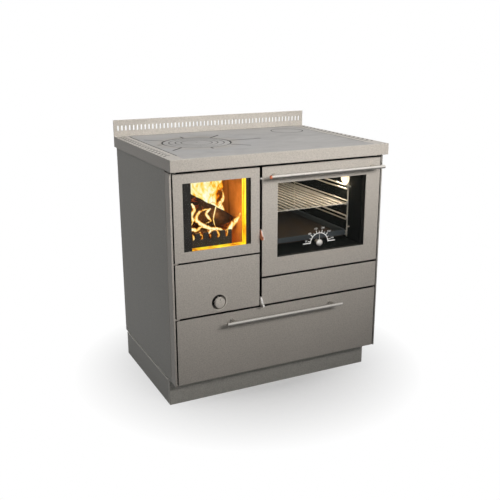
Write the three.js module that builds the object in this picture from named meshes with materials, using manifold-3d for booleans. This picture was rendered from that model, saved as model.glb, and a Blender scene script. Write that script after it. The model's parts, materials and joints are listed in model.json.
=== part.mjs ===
// Wood-fired cookstove, 800 mm wide: firebox and ash door on the left, oven on the right,
// wood drawer below, steel hotplate with lift-out rings on top.
// Millimetres, +Z up, front faces -Y. Depths (y) are counted from the worktop's front edge,
// and the finished group is moved so that its origin is the middle of its footprint.

import * as THREE from 'three';
import { mergeVertices } from 'three/addons/utils/BufferGeometryUtils.js';
import Module from 'manifold-3d';

const wasm = await Module();
wasm.setup();

// ---------------------------------------------------------------- driving dimensions

const TOUCH = 0.3; // gap left between pieces that touch

// Worktop and backsplash
const WIDTH = 800;
const DEPTH = 600;
const TOP = 850;
const APRON = 38; // height of the worktop's folded edge
const TOP_SHEET = 2.5;
const SPLASH_HEIGHT = 60;
const SPLASH_SHEET = 3;
const SPLASH_SLOTS = 52;
const SPLASH_PITCH = 15;
const SPLASH_SLOT = { width: 6.2, low: 20, high: 40, corner: 2.2 };
const VENT_HOLES = 18; // zigzag pairs in each side strip of the worktop
const VENT_PITCH = 28;
const VENT_START = 83;
const VENT_ROWS = { outer: 386.5, inner: 372.5 };
const VENT_HOLE = { half: 5.5, width: 2.4, slant: 3.5 };

// Hotplate, hob rings and flue
const PLATE = { half: 350, front: 12, back: 588, thickness: 8, gap: 3 };
const LEDGE = { sheet: 2.5, outside: 6, bearing: 14 }; // the angle that carries the hotplate
const PLATE_GAP_RUN = { front: 77, back: 567 }; // the wide part of the plate's side gaps
const HOB = { x: -185, y: 318 };
const HOB_RADII = [119.5, 96.5, 74.5, 54.5]; // seats of the outer ring, two more rings and the lid
const HOB_GAPS = [2.5, 0.8, 0.8, 0.8];
const SEAT_LEDGE = 7;
const SEAT_DEPTH = 4;
const SEAT_PLAY = 0.6;
const LIFT_SLOT = { x: 14, y: 8, depth: 5 };
const ROUND_STEPS = 32;
const EXPANSION_SLOT = { width: 3.2, start: 128 };
// how far from the hob centre each slot ends, from 0 degrees in steps of 45
const EXPANSION_ENDS = [251, 206, 161, 203, 143, 196, 150, 200];
const FLUE = {
  x: 255, y: 466, cover: 61.5, bore: 57, collar: 62, bottom: 795, flange: { width: 12, thickness: 3 },
};

// Body
const BODY_TOP = 806;
const BODY_BOTTOM = 90;
const BODY_SIDE = 396; // half the width over the side walls
const BODY_BACK = 581;
const CLADDING = { top: 811, front: 63.5, proud: 0.8, inner: 390.5 };
const PANEL_FRONT = 25; // plane of the doors' and the drawer's faces
const PANEL_DEPTH = 22;
const SKIN = 2.5;
const RETURN = 2;
const FRAME = { front: 52, back: 58 }; // rails behind the doors
const WALL = { front: 58.5, back: 61.5 }; // sheet wall behind the rails
const CARRIER_TOP = 838.7; // what the worktop rests on

const BASE_SHEET = 3;
const REAR_SHEET = { half: 390, front: 577.5, back: 580.5 };
const LOUVRE = { x: [-300, -200, -100, 0, 100, 200, 300], z: [190, 215, 725, 750], length: 70, height: 6 };

// Plinth and levelling feet
const PLINTH = { front: 77, back: 557, left: -399.6, right: 381, board: 16, height: 90 };
const FOOT = { pad: 20, padHeight: 5, stem: 6, shoulder: 10 };
const FOOT_PLACES = {
  front_left: [-340, 130],
  front_right: [325, 130],
  rear_left: [-340, 505],
  rear_right: [325, 505],
};

// Front corner posts and rails
const POST = { leftInner: -389.8, rightInner: 390.5, rightSetBack: 0.5, leftWeb: -373, rightWeb: 375 };
const EARS = [[322.6, 326.4], [511.2, 514.8], [802.4, 806]]; // heights of the side hinges' ears
const EAR_PINS = [[326, 337], [501, 525], [791, 803]]; // heights of the pins on those ears
const MULLION = { x: [-93, -70], z: [326, 784.7] };
const TOP_RAIL_BOTTOM = 785;
const DRAWER_RAIL = [312, 325.7];
const FIRE_SILL = [505, 521];
const OVEN_SILL = [416, 433];
const KEEPER = { front: 48.6, height: 6, belowFire: 28, belowAsh: 14 };
const OVEN_EAR = { x: [-84.6, -80.4], front: 31, halfHeight: 6 };

// Wood drawer
const COMPARTMENT = { half: 389, ceiling: [326, 328], back: 577 };
const RUNNER = { outer: 388, sheet: 2, inner: 355, y: [64, 570], bottom: 94, top: 140, ledge: [96, 98.4] };
const DRAWER_BOX = { x: [-368, 370], back: 545, z: [99, 305], sheet: 2 };

// Door and drawer outlines, seen from the front: x and z
const FIRE_DOOR = { x: [-385, -86], z: [516, 801] };
const FIRE_WINDOW = { x: [-353, -118], z: [550, 770] };
const ASH_DOOR = { x: [-385, -86], z: [328, 510] };
const OVEN_DOOR = { x: [-77, 387], z: [428, 801] };
const OVEN_WINDOW = { x: [-19, 329], z: [489.5, 743] };
const DOOR_GLASS = 4; // thickness of the panes
const FIRE_LINER_LEFT = -323; // left edge of the firebox door liner's opening
const FASCIA = { x: [-77, 387], z: [328, 421] };
const DRAWER = { x: [-385, 387], z: [92, 321] };

// Hinges, latches and knob
const SIDE_HINGE = { x: -379, y: 32, pin: 3, hole: 3.35, ear: 6 };
const OVEN_HINGE = { y: 36, z: 437, pin: 2.6, hole: 2.95, reach: 8 };
const LATCH = { x: [-84.6, -78.4], y: 36, fireZ: 577, ashZ: 341, axle: 2.5, hole: 2.85 };
const AIR_KNOB = { x: -235.5, z: 364.5, radius: 20, front: 17, dish: 26, shaft: 4, shutter: 22 };
const AIR_DISH = { back: 33, sheet: 2, rim: 3, holes: 3.5, holeCircle: 14 };
const DIAL = { x: 146, z: 519.5, radius: 14.5, front: 19, needle: 31, spindle: 2.9, back: 44 };

// Bar handles
const HANDLE = { y: -12, radius: 6, length: 446, postSpacing: 384, postRadius: 5, stud: 2.2, studHole: 2.5 };
const OVEN_HANDLE = { x: 156, z: 773 };
const DRAWER_HANDLE = { x: 1, z: 295.5 };

// Firebox
const CASING = { x: [-371, -95], back: 510, sheet: 3, floor: 500, smokeEdge: 775 };
const MOUTH_LIP = 50; // the mouths' raised lips reach forward to here
const FIRE_MOUTH = { x: [-330, -132], z: [541, 776], rim: 8 };
const ASH_MOUTH = { x: [-350, -115], z: [331.3, 490], rim: 3 }; // its sill is level with the floor
const ASH_PAN = {
  x: [-345, -120], y: [70, 450], z: [331.6, 395], sheet: 2, grip: [-262, -203], gripDepth: 7,
};
const BRICK = { left: -335, right: -125, back: 475, top: 800 };
const GRATE = {
  x: [-325, -145], y: [145, 405], thickness: 12, rim: 14, slots: 11, slotWidth: 7, bearing: 8,
};
const GUARD = {
  right: -168, y: [66, 72], top: 595, valley: 572, gaps: 5, pitch: 29.5, gap: 12.5, firstGap: -304,
};

// Oven
const OVEN = { x: [-16, 328], y: [50, 556], z: [489, 745], sheet: 2.5 };
const OVEN_WALL = { x: [-94.7, 388], z: [418, 790] };
const OVEN_LAMP = { y: 150, z: 712, front: 20, back: 24, thickness: 8 };
const RACK = { inset: 15.5, wallInset: 11, wire: 5, front: 116, back: 536, low: 508, pitch: 56, pair: 14 };
const RACK_LEVELS = 4;
const SHELF = { level: 2, bars: 20, wire: 4, frame: 3.2, bar: 3.2 };
const TRAY = { front: 112, back: 532, top: 527, bottom: 506, sheet: 2, inset: 6 };

// Damper
const DAMPER = { x: -82, z: 764.6, radius: 3, tip: 22, armY: 400, armWidth: 12, plateZ: 790, thickness: 3 };
const DAMPER_PLATE = { x: [190, 320], back: 531 };

// ---------------------------------------------------------------- solids

/** A three.js geometry as a manifold solid. */
function solidOf(geometry) {
  const bare = geometry.index ? geometry.toNonIndexed() : geometry.clone();
  bare.deleteAttribute('normal');
  bare.deleteAttribute('uv');
  const merged = mergeVertices(bare, 1e-4);
  return new wasm.Manifold(new wasm.Mesh({
    numProp: 3,
    vertProperties: new Float32Array(merged.attributes.position.array),
    triVerts: new Uint32Array(merged.index.array),
  }));
}

/** A manifold solid as a three.js geometry. */
function geometryOf(solid) {
  const mesh = solid.getMesh();
  const geometry = new THREE.BufferGeometry();
  geometry.setAttribute('position', new THREE.BufferAttribute(new Float32Array(mesh.vertProperties), 3));
  geometry.setIndex(new THREE.BufferAttribute(new Uint32Array(mesh.triVerts), 1));
  geometry.computeVertexNormals();
  return geometry;
}

/** Joins geometries that overlap into one solid. */
function join(...pieces) {
  return geometryOf(pieces.map(solidOf).reduce((whole, piece) => whole.add(piece)));
}

/** Cuts the other geometries out of the first. */
function cut(body, ...tools) {
  return geometryOf(tools.map(solidOf).reduce((whole, tool) => whole.subtract(tool), solidOf(body)));
}

/** A box from its two limits along each axis. */
function block(x, y, z) {
  const box = new THREE.BoxGeometry(x[1] - x[0], y[1] - y[0], z[1] - z[0]);
  return box.translate((x[0] + x[1]) / 2, (y[0] + y[1]) / 2, (z[0] + z[1]) / 2);
}

/** A round bar along 'x', 'y' or 'z', from one place to another on that axis. */
function bar(axis, radius, from, to, a, b, sides = 12) {
  const rod = new THREE.CylinderGeometry(radius, radius, to - from, sides);
  const middle = (from + to) / 2;
  if (axis === 'x') {
    return rod.rotateZ(-Math.PI / 2).translate(middle, a, b);
  }
  if (axis === 'y') {
    return rod.translate(a, middle, b);
  }
  return rod.rotateX(Math.PI / 2).translate(a, b, middle);
}

/** A turned piece about a vertical axis at (x, y); the profile is a list of [radius, z]. */
function turned(profile, x, y, steps = ROUND_STEPS) {
  const points = profile.map(([radius, height]) => new THREE.Vector2(radius, height));
  return new THREE.LatheGeometry(points, steps).rotateX(Math.PI / 2).translate(x, y, 0);
}

/** A turned piece about an axis along -Y at (x, z); the profile is a list of [radius, depth]. */
function turnedFacingFront(profile, x, z, steps = ROUND_STEPS) {
  const points = profile.map(([radius, depth]) => new THREE.Vector2(radius, depth));
  return new THREE.LatheGeometry(points, steps).translate(x, 0, z);
}

/** An outline in the plane across X, as [y, z] points, given a width in X. */
function sideProfile(outline, x) {
  const shape = new THREE.Shape(outline.map(([y, z]) => new THREE.Vector2(y, z)));
  const extruded = new THREE.ExtrudeGeometry(shape, { depth: x[1] - x[0], bevelEnabled: false });
  // shape x -> y, shape y -> z, extrusion -> x
  const turn = new THREE.Matrix4().makeBasis(
    new THREE.Vector3(0, 1, 0),
    new THREE.Vector3(0, 0, 1),
    new THREE.Vector3(1, 0, 0),
  );
  return extruded.applyMatrix4(turn).translate(x[0], 0, 0);
}

/** The outline grown on all sides. */
function grown(outline, by) {
  return { x: [outline.x[0] - by, outline.x[1] + by], z: [outline.z[0] - by, outline.z[1] + by] };
}

/** The two limits of a stretch across the stove, from distances to its middle, on one side of it. */
function mirrored(side, near, far) {
  return side < 0 ? [-far, -near] : [near, far];
}

/** A folded sheet pan whose face is at the front and whose hollow is open at the back. */
function pan(outline, holes = []) {
  const back = PANEL_FRONT + PANEL_DEPTH;
  const hollow = block(
    [outline.x[0] + RETURN, outline.x[1] - RETURN],
    [PANEL_FRONT + SKIN, back + 1],
    [outline.z[0] + RETURN, outline.z[1] - RETURN],
  );
  const openings = holes.map((hole) => block(hole.x, [PANEL_FRONT - 1, PANEL_FRONT + SKIN + 1], hole.z));
  return cut(block(outline.x, [PANEL_FRONT, back], outline.z), hollow, ...openings);
}

// ---------------------------------------------------------------- finishes

const FINISH = {
  satinSteel: { color: 0xb5ada4, roughness: 0.38, metalness: 0.85 },
  bodySteel: { color: 0x8b8a85, roughness: 0.45, metalness: 0.7 },
  plateSteel: { color: 0xa9a7a2, roughness: 0.5, metalness: 0.8 },
  darkSteel: { color: 0x2c2b29, roughness: 0.6, metalness: 0.5 },
  brightSteel: { color: 0xcfcbc6, roughness: 0.2, metalness: 0.95 },
  castIron: { color: 0x3a3a3c, roughness: 0.75, metalness: 0.4 },
  firebrick: { color: 0xc9a77c, roughness: 0.95, metalness: 0 },
  enamel: { color: 0x17191a, roughness: 0.3, metalness: 0.1 },
  galvanised: { color: 0x8f9496, roughness: 0.5, metalness: 0.7 },
  clearGlass: { color: 0x9fb0ac, roughness: 0.05, metalness: 0, transparent: true, opacity: 0.35 },
  rubber: { color: 0x1e1e1e, roughness: 0.9, metalness: 0 },
};

const stove = new THREE.Group();

/** Adds a named piece in one of the finishes. */
function add(name, geometry, finish) {
  const mesh = new THREE.Mesh(geometry, new THREE.MeshStandardMaterial(FINISH[finish]));
  mesh.name = name;
  stove.add(mesh);
}

// ---------------------------------------------------------------- plinth and feet

function plinth() {
  const height = [0, PLINTH.height];
  const behindFront = [PLINTH.front + PLINTH.board + TOUCH, PLINTH.back];
  const leftInner = PLINTH.left + PLINTH.board;
  const rightInner = PLINTH.right - PLINTH.board;
  const frontBoard = [PLINTH.front, PLINTH.front + PLINTH.board];
  add('plinth_front', block([PLINTH.left, PLINTH.right], frontBoard, height), 'bodySteel');
  add('plinth_left', block([PLINTH.left, leftInner], behindFront, height), 'bodySteel');
  add('plinth_right', block([rightInner, PLINTH.right], behindFront, height), 'bodySteel');
  add('plinth_rear', block(
    [leftInner + TOUCH, rightInner - TOUCH],
    [PLINTH.back - PLINTH.board, PLINTH.back],
    height,
  ), 'bodySteel');
}

function levellingFeet() {
  const { pad, padHeight, stem, shoulder } = FOOT;
  const top = PLINTH.height;
  const profile = [[0, 0], [pad, 0], [pad, padHeight], [stem, shoulder], [stem, top], [0, top]];
  for (const [corner, [x, y]] of Object.entries(FOOT_PLACES)) {
    add(`levelling_foot_${corner}`, turned(profile, x, y, 12), 'rubber');
  }
}

// ---------------------------------------------------------------- body

function baseTray() {
  const { half, back } = COMPARTMENT;
  const bottom = BODY_BOTTOM + TOUCH;
  const height = [bottom, bottom + BASE_SHEET];
  add('base_tray', block([-half, half], [WALL.back + TOUCH, back], height), 'galvanised');
}

/** Side cladding: a folded sheet, hollow towards the inside of the stove. */
function claddingPanel(side) {
  const outer = BODY_SIDE + CLADDING.proud;
  const z = [BODY_BOTTOM + TOUCH, CLADDING.top];
  const y = [CLADDING.front, BODY_BACK];
  const panel = block(mirrored(side, CLADDING.inner, outer), y, z);
  const hollow = block(
    mirrored(side, CLADDING.inner - 1, outer - RETURN),
    [y[0] + RETURN, y[1] - RETURN],
    [z[0] + RETURN, z[1] - RETURN],
  );
  return cut(panel, hollow);
}

function sidePanels() {
  add('side_panel_left', claddingPanel(-1), 'bodySteel');
  add('side_panel_right', claddingPanel(1), 'bodySteel');
}

/** Front corner posts: an outer leg beside the doors and an inner leg behind them. */
function frontPosts() {
  const legHeight = [BODY_BOTTOM + TOUCH, BODY_TOP];
  const webHeight = [BODY_BOTTOM + TOUCH, CARRIER_TOP];
  const behindDoors = [FRAME.front, FRAME.back];
  const backOfPost = CLADDING.front - TOUCH;
  const leftLeg = block([-BODY_SIDE, POST.leftInner], [PANEL_FRONT, backOfPost], legHeight);
  const leftWeb = block([POST.leftInner - 1, POST.leftWeb], behindDoors, webHeight);
  const earWidth = [POST.leftInner - 1, SIDE_HINGE.x + SIDE_HINGE.ear];
  const earDepth = [SIDE_HINGE.y - SIDE_HINGE.pin - 1, FRAME.front + 1];
  const ears = EARS.map((height) => block(earWidth, earDepth, height));
  const pins = EAR_PINS.map(
    ([low, high]) => bar('z', SIDE_HINGE.pin, low, high, SIDE_HINGE.x, SIDE_HINGE.y),
  );
  add('front_post_left', join(leftLeg, leftWeb, ...ears, ...pins), 'satinSteel');

  const setBack = PANEL_FRONT + POST.rightSetBack;
  const rightLeg = block([POST.rightInner, BODY_SIDE], [setBack, backOfPost], legHeight);
  const rightWeb = block([POST.rightWeb, POST.rightInner + 1], behindDoors, webHeight);
  const pinStart = OVEN_DOOR.x[1] - OVEN_HINGE.reach;
  const ovenPin = bar('x', OVEN_HINGE.pin, pinStart, POST.rightInner + 1, OVEN_HINGE.y, OVEN_HINGE.z);
  add('front_post_right', join(rightLeg, rightWeb, ovenPin), 'bodySteel');
}

/** Rails behind the doors, with the keepers of the latches and the left hinge ear of the oven door. */
function frontFrame() {
  const y = [FRAME.front, FRAME.back];
  const left = POST.leftWeb + TOUCH;
  const right = POST.rightWeb - TOUCH;
  add('top_rail', block([left, right], y, [TOP_RAIL_BOTTOM, CARRIER_TOP]), 'darkSteel');
  add('drawer_rail', block([left, right], y, DRAWER_RAIL), 'darkSteel');

  const keeper = (z) => block(LATCH.x, [KEEPER.front, FRAME.front + 1], [z, z + KEEPER.height]);
  const ear = block(
    OVEN_EAR.x,
    [OVEN_EAR.front, FRAME.front + 1],
    [OVEN_HINGE.z - OVEN_EAR.halfHeight, OVEN_HINGE.z + OVEN_EAR.halfHeight],
  );
  const pinEnd = OVEN_DOOR.x[0] + OVEN_HINGE.reach;
  const crossbars = join(
    block(MULLION.x, y, MULLION.z),
    block([left, MULLION.x[0] + 1], y, FIRE_SILL),
    block([MULLION.x[1] - 1, right], y, OVEN_SILL),
    keeper(LATCH.fireZ - KEEPER.belowFire),
    keeper(LATCH.ashZ - KEEPER.belowAsh),
    ear,
    bar('x', OVEN_HINGE.pin, OVEN_EAR.x[1] - 1, pinEnd, OVEN_HINGE.y, OVEN_HINGE.z),
  );
  const rodHole = bar('y', DAMPER.radius + 0.6, FRAME.front - 1, FRAME.back + 1, DAMPER.x, DAMPER.z);
  add('front_crossbars', cut(crossbars, rodHole), 'darkSteel');
}

function rearPanel() {
  const { half, front, back } = REAR_SHEET;
  const sheet = block([-half, half], [front, back], [BODY_BOTTOM + BASE_SHEET + 1, CARRIER_TOP]);
  const louvres = LOUVRE.x.flatMap((x) => LOUVRE.z.map((z) => block(
    [x - LOUVRE.length / 2, x + LOUVRE.length / 2],
    [front - 1, back + 1],
    [z, z + LOUVRE.height],
  )));
  add('rear_panel', cut(sheet, ...louvres), 'galvanised');
}

function drawerCompartment() {
  const { half, ceiling, back } = COMPARTMENT;
  add('drawer_ceiling', block([-half, half], [WALL.front, back], ceiling), 'galvanised');
  const { outer, inner, sheet, y, bottom, top, ledge } = RUNNER;
  for (const [name, side] of [['drawer_runner_left', -1], ['drawer_runner_right', 1]]) {
    const upright = block(mirrored(side, outer - sheet, outer), y, [bottom, top]);
    const shelf = block(mirrored(side, inner, outer - 1), y, ledge);
    add(name, join(upright, shelf), 'galvanised');
  }
}

// ---------------------------------------------------------------- worktop

/** One zigzag hole: a short slanted slot, as its outline from above. */
function slantedHole(x, y, slant) {
  const shape = new THREE.Shape();
  const { half, width } = VENT_HOLE;
  shape.moveTo(x - half, y - slant - width);
  shape.lineTo(x + half, y + slant - width);
  shape.lineTo(x + half, y + slant + width);
  shape.lineTo(x - half, y - slant + width);
  shape.closePath();
  const depth = TOP_SHEET + 2;
  const hole = new THREE.ExtrudeGeometry(shape, { depth, bevelEnabled: false });
  return hole.translate(0, 0, TOP - TOP_SHEET - 1);
}

/** The hotplate's outline: along each side it is a gap narrower than at its corners. */
function plateOutline() {
  const { half, front, back, gap } = PLATE;
  const run = PLATE_GAP_RUN;
  const narrow = half - gap;
  const shape = new THREE.Shape();
  shape.moveTo(-half, front);
  shape.lineTo(half, front);
  shape.lineTo(half, run.front);
  shape.lineTo(narrow, run.front);
  shape.lineTo(narrow, run.back);
  shape.lineTo(half, run.back);
  shape.lineTo(half, back);
  shape.lineTo(-half, back);
  shape.lineTo(-half, run.back);
  shape.lineTo(-narrow, run.back);
  shape.lineTo(-narrow, run.front);
  shape.lineTo(-half, run.front);
  shape.closePath();
  return shape;
}

function worktopFrame() {
  const half = WIDTH / 2;
  const bottom = TOP - APRON;
  const underSkin = TOP - TOP_SHEET;
  const seat = TOP - PLATE.thickness - TOUCH;
  const outer = block([-half, half], [0, DEPTH], [bottom, TOP]);
  const hollow = block(
    [-half + TOP_SHEET, half - TOP_SHEET],
    [TOP_SHEET, DEPTH - TOP_SHEET],
    [bottom - 1, underSkin],
  );
  const opening = (z, by) => block(
    [-PLATE.half - by, PLATE.half + by],
    [PLATE.front - by, PLATE.back + by],
    z,
  );
  const shell = cut(outer, hollow, opening([bottom - 1, TOP + 1], TOUCH));

  // the angle under the edge of the opening that carries the hotplate
  const ledge = cut(
    opening([seat - LEDGE.sheet, underSkin + 0.5], LEDGE.outside),
    opening([seat, TOP], TOUCH),
    opening([bottom, TOP], -LEDGE.bearing),
  );

  const holes = [];
  for (const side of [-1, 1]) {
    for (let i = 0; i < VENT_HOLES; i += 1) {
      const y = VENT_START + i * VENT_PITCH;
      holes.push(slantedHole(side * VENT_ROWS.outer, y, VENT_HOLE.slant));
      holes.push(slantedHole(side * VENT_ROWS.inner, y + VENT_PITCH / 2, -VENT_HOLE.slant));
    }
  }
  add('worktop', cut(join(shell, ledge), ...holes), 'satinSteel');
}

/** A straight slot on a ray from the hob's centre. */
function expansionSlot(angle, end) {
  const length = end - EXPANSION_SLOT.start;
  const middle = (end + EXPANSION_SLOT.start) / 2;
  const tool = new THREE.BoxGeometry(length, EXPANSION_SLOT.width, PLATE.thickness + 2);
  return tool.translate(middle, 0, 0).rotateZ(angle).translate(HOB.x, HOB.y, TOP - PLATE.thickness / 2);
}

/** A stepped round seat cut through the hotplate. */
function seatCut(radius, x, y) {
  const below = TOP - PLATE.thickness - 1;
  const above = TOP + 1;
  const ledge = TOP - SEAT_DEPTH;
  const inner = radius - SEAT_LEDGE;
  const profile = [[0, below], [inner, below], [inner, ledge], [radius, ledge], [radius, above], [0, above]];
  return turned(profile, x, y);
}

function hotplate() {
  const slab = new THREE.ExtrudeGeometry(plateOutline(), { depth: PLATE.thickness, bevelEnabled: false })
    .translate(0, 0, TOP - PLATE.thickness);
  const slots = EXPANSION_ENDS.map((end, i) => expansionSlot(i * Math.PI / 4, end));
  const flueSeat = seatCut(FLUE.cover + SEAT_PLAY, FLUE.x, FLUE.y);
  add('hotplate', cut(slab, seatCut(HOB_RADII[0], HOB.x, HOB.y), flueSeat, ...slots), 'plateSteel');
}

/** A lid that rests on the ledge around its seat. */
function seatedDisc(seatRadius, outer, x, y) {
  const lower = seatRadius - SEAT_LEDGE - SEAT_PLAY;
  const bottom = TOP - PLATE.thickness + 0.4;
  const step = TOP - SEAT_DEPTH + TOUCH;
  return turned([[0, bottom], [lower, bottom], [lower, step], [outer, step], [outer, TOP], [0, TOP]], x, y);
}

/** A ring that rests on the ledge around its seat and has a ledge of its own for the next piece. */
function hobRing(level) {
  const outer = HOB_RADII[level] - HOB_GAPS[level];
  const lowerOuter = HOB_RADII[level] - SEAT_LEDGE - SEAT_PLAY;
  const inner = HOB_RADII[level + 1];
  const bottom = TOP - PLATE.thickness + 0.4;
  const step = TOP - SEAT_DEPTH;
  return turned([
    [inner - SEAT_LEDGE, bottom],
    [lowerOuter, bottom],
    [lowerOuter, step + TOUCH],
    [outer, step + TOUCH],
    [outer, TOP],
    [inner, TOP],
    [inner, step],
    [inner - SEAT_LEDGE, step],
    [inner - SEAT_LEDGE, bottom],
  ], HOB.x, HOB.y);
}

function hobPieces() {
  add('hob_ring_outer', hobRing(0), 'plateSteel');
  add('hob_ring_middle', hobRing(1), 'plateSteel');
  add('hob_ring_inner', hobRing(2), 'plateSteel');

  const disc = seatedDisc(HOB_RADII[3], HOB_RADII[3] - HOB_GAPS[3], HOB.x, HOB.y);
  const liftSlot = block(
    [HOB.x - LIFT_SLOT.x / 2, HOB.x + LIFT_SLOT.x / 2],
    [HOB.y - LIFT_SLOT.y / 2, HOB.y + LIFT_SLOT.y / 2],
    [TOP - LIFT_SLOT.depth, TOP + 1],
  );
  add('hob_lid', cut(disc, liftSlot), 'plateSteel');
}

function flueParts() {
  add('flue_cover', seatedDisc(FLUE.cover, FLUE.cover, FLUE.x, FLUE.y), 'plateSteel');
  const { bore, collar, bottom, flange } = FLUE;
  const top = TOP - PLATE.thickness - TOUCH;
  const profile = [
    [bore, bottom],
    [collar, bottom],
    [collar, top - flange.thickness],
    [collar + flange.width, top - flange.thickness],
    [collar + flange.width, top],
    [bore, top],
    [bore, bottom],
  ];
  add('flue_collar', turned(profile, FLUE.x, FLUE.y, 28), 'castIron');
}

/** A tall slot in the backsplash; its four corners are cut off. */
function splashSlot(x) {
  const { corner } = SPLASH_SLOT;
  const half = SPLASH_SLOT.width / 2;
  const low = TOP + SPLASH_SLOT.low;
  const high = TOP + SPLASH_SLOT.high;
  const shape = new THREE.Shape();
  shape.moveTo(x - half, low + corner);
  shape.lineTo(x - half + corner, low);
  shape.lineTo(x + half - corner, low);
  shape.lineTo(x + half, low + corner);
  shape.lineTo(x + half, high - corner);
  shape.lineTo(x + half - corner, high);
  shape.lineTo(x - half + corner, high);
  shape.lineTo(x - half, high - corner);
  shape.closePath();
  const tool = new THREE.ExtrudeGeometry(shape, { depth: SPLASH_SHEET + 2, bevelEnabled: false });
  return tool.rotateX(Math.PI / 2).translate(0, DEPTH + 1, 0);
}

function backsplash() {
  const height = [TOP + TOUCH, TOP + SPLASH_HEIGHT];
  const sheet = block([-WIDTH / 2, WIDTH / 2], [DEPTH - SPLASH_SHEET, DEPTH], height);
  const slots = [];
  for (let i = 0; i < SPLASH_SLOTS; i += 1) {
    slots.push(splashSlot((i - (SPLASH_SLOTS - 1) / 2) * SPLASH_PITCH));
  }
  add('backsplash', cut(sheet, ...slots), 'satinSteel');
}

// ---------------------------------------------------------------- firebox

/** The raised lip around a mouth in the casing's front wall. */
function mouthLip(mouth) {
  const { rim } = mouth;
  return block(
    [mouth.x[0] - rim, mouth.x[1] + rim],
    [MOUTH_LIP, WALL.front + 1],
    [mouth.z[0] - rim, mouth.z[1] + rim],
  );
}

function fireboxCasing() {
  const { sheet, floor, smokeEdge, back } = CASING;
  const bottom = COMPARTMENT.ceiling[1] + TOUCH;
  const inside = (low, high) => block(
    [CASING.x[0] + sheet, CASING.x[1] - sheet],
    [WALL.back, back - sheet],
    [low, high],
  );
  const shell = cut(
    block(CASING.x, [WALL.front, back], [bottom, CARRIER_TOP]),
    inside(floor + sheet, CARRIER_TOP + 1),
    inside(bottom + sheet, floor),
  );
  const casing = join(shell, mouthLip(FIRE_MOUTH), mouthLip(ASH_MOUTH));
  const mouths = [FIRE_MOUTH, ASH_MOUTH].map(
    (mouth) => block(mouth.x, [MOUTH_LIP - 1, WALL.back + 1], mouth.z),
  );
  const grateWell = block(
    [GRATE.x[0] + GRATE.bearing, GRATE.x[1] - GRATE.bearing],
    [GRATE.y[0] + GRATE.bearing, GRATE.y[1] - GRATE.bearing],
    [floor - 1, floor + sheet + 1],
  );
  // the smoke leaves over the top of the right wall
  const smokeWay = block(
    [CASING.x[1] - sheet - 1, CASING.x[1] + 1],
    [WALL.back, back - sheet],
    [smokeEdge, CARRIER_TOP + 1],
  );
  add('firebox_casing', cut(casing, ...mouths, grateWell, smokeWay), 'darkSteel');
}

function firebricks() {
  const floor = CASING.floor + CASING.sheet + TOUCH;
  const depth = [WALL.back + TOUCH, CASING.back - CASING.sheet - TOUCH];
  const leftWall = CASING.x[0] + CASING.sheet + TOUCH;
  const rightWall = CASING.x[1] - CASING.sheet - TOUCH;
  const tall = [floor, BRICK.top];
  const belowSmokeWay = [floor, CASING.smokeEdge - 5];
  const between = [BRICK.left + TOUCH, BRICK.right - TOUCH];
  add('firebrick_left', block([leftWall, BRICK.left], depth, tall), 'firebrick');
  add('firebrick_right', block([BRICK.right, rightWall], depth, belowSmokeWay), 'firebrick');
  add('firebrick_rear', block(between, [BRICK.back, depth[1]], tall), 'firebrick');
}

function fireGrate() {
  const { rim, slotWidth } = GRATE;
  const floor = CASING.floor + CASING.sheet + TOUCH;
  const plate = block(GRATE.x, GRATE.y, [floor, floor + GRATE.thickness]);
  const pitch = (GRATE.x[1] - GRATE.x[0] - 2 * rim) / GRATE.slots;
  const slots = [];
  for (let i = 0; i < GRATE.slots; i += 1) {
    const x = GRATE.x[0] + rim + (i + 0.5) * pitch;
    slots.push(block(
      [x - slotWidth / 2, x + slotWidth / 2],
      [GRATE.y[0] + rim, GRATE.y[1] - rim],
      [floor - 1, floor + GRATE.thickness + 1],
    ));
  }
  add('fire_grate', cut(plate, ...slots), 'castIron');
}

/** The toothed plate that keeps the logs away from the door. */
function logGuard() {
  const floor = CASING.floor + CASING.sheet + TOUCH;
  const plate = block([BRICK.left + 1, GUARD.right], GUARD.y, [floor, GUARD.top]);
  const radius = GUARD.gap / 2;
  const depth = [GUARD.y[0] - 1, GUARD.y[1] + 1];
  const middle = GUARD.valley + radius;
  const gaps = [];
  for (let i = 0; i < GUARD.gaps; i += 1) {
    const x = GUARD.firstGap + i * GUARD.pitch;
    gaps.push(bar('y', radius, ...depth, x, middle));
    gaps.push(block([x - radius, x + radius], depth, [middle, GUARD.top + 1]));
  }
  add('log_guard', cut(plate, ...gaps), 'castIron');
}

function ashPan() {
  const { x, y, z, sheet, grip, gripDepth } = ASH_PAN;
  const hollow = block(
    [x[0] + sheet, x[1] - sheet],
    [y[0] + sheet, y[1] - sheet],
    [z[0] + sheet, z[1] + 1],
  );
  const lip = block(grip, [y[0] - gripDepth, y[0] + 1], [z[1] - 15, z[1] - 11]);
  add('ash_pan', join(cut(block(x, y, z), hollow), lip), 'galvanised');
}

// ---------------------------------------------------------------- oven

function ovenBox() {
  const { x, y, z, sheet } = OVEN;
  const tube = block([x[0] - sheet, x[1] + sheet], [y[0], y[1] + sheet], [z[0] - sheet, z[1] + sheet]);
  const frontWall = block(OVEN_WALL.x, [WALL.front, WALL.back], OVEN_WALL.z);
  const cavity = block(x, [y[0] - 1, y[1]], z);
  const rodHole = bar('y', DAMPER.radius + 1.5, WALL.front - 1, WALL.back + 1, DAMPER.x, DAMPER.z);
  add('oven_box', cut(join(tube, frontWall), cavity, rodHole), 'enamel');
}

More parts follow.
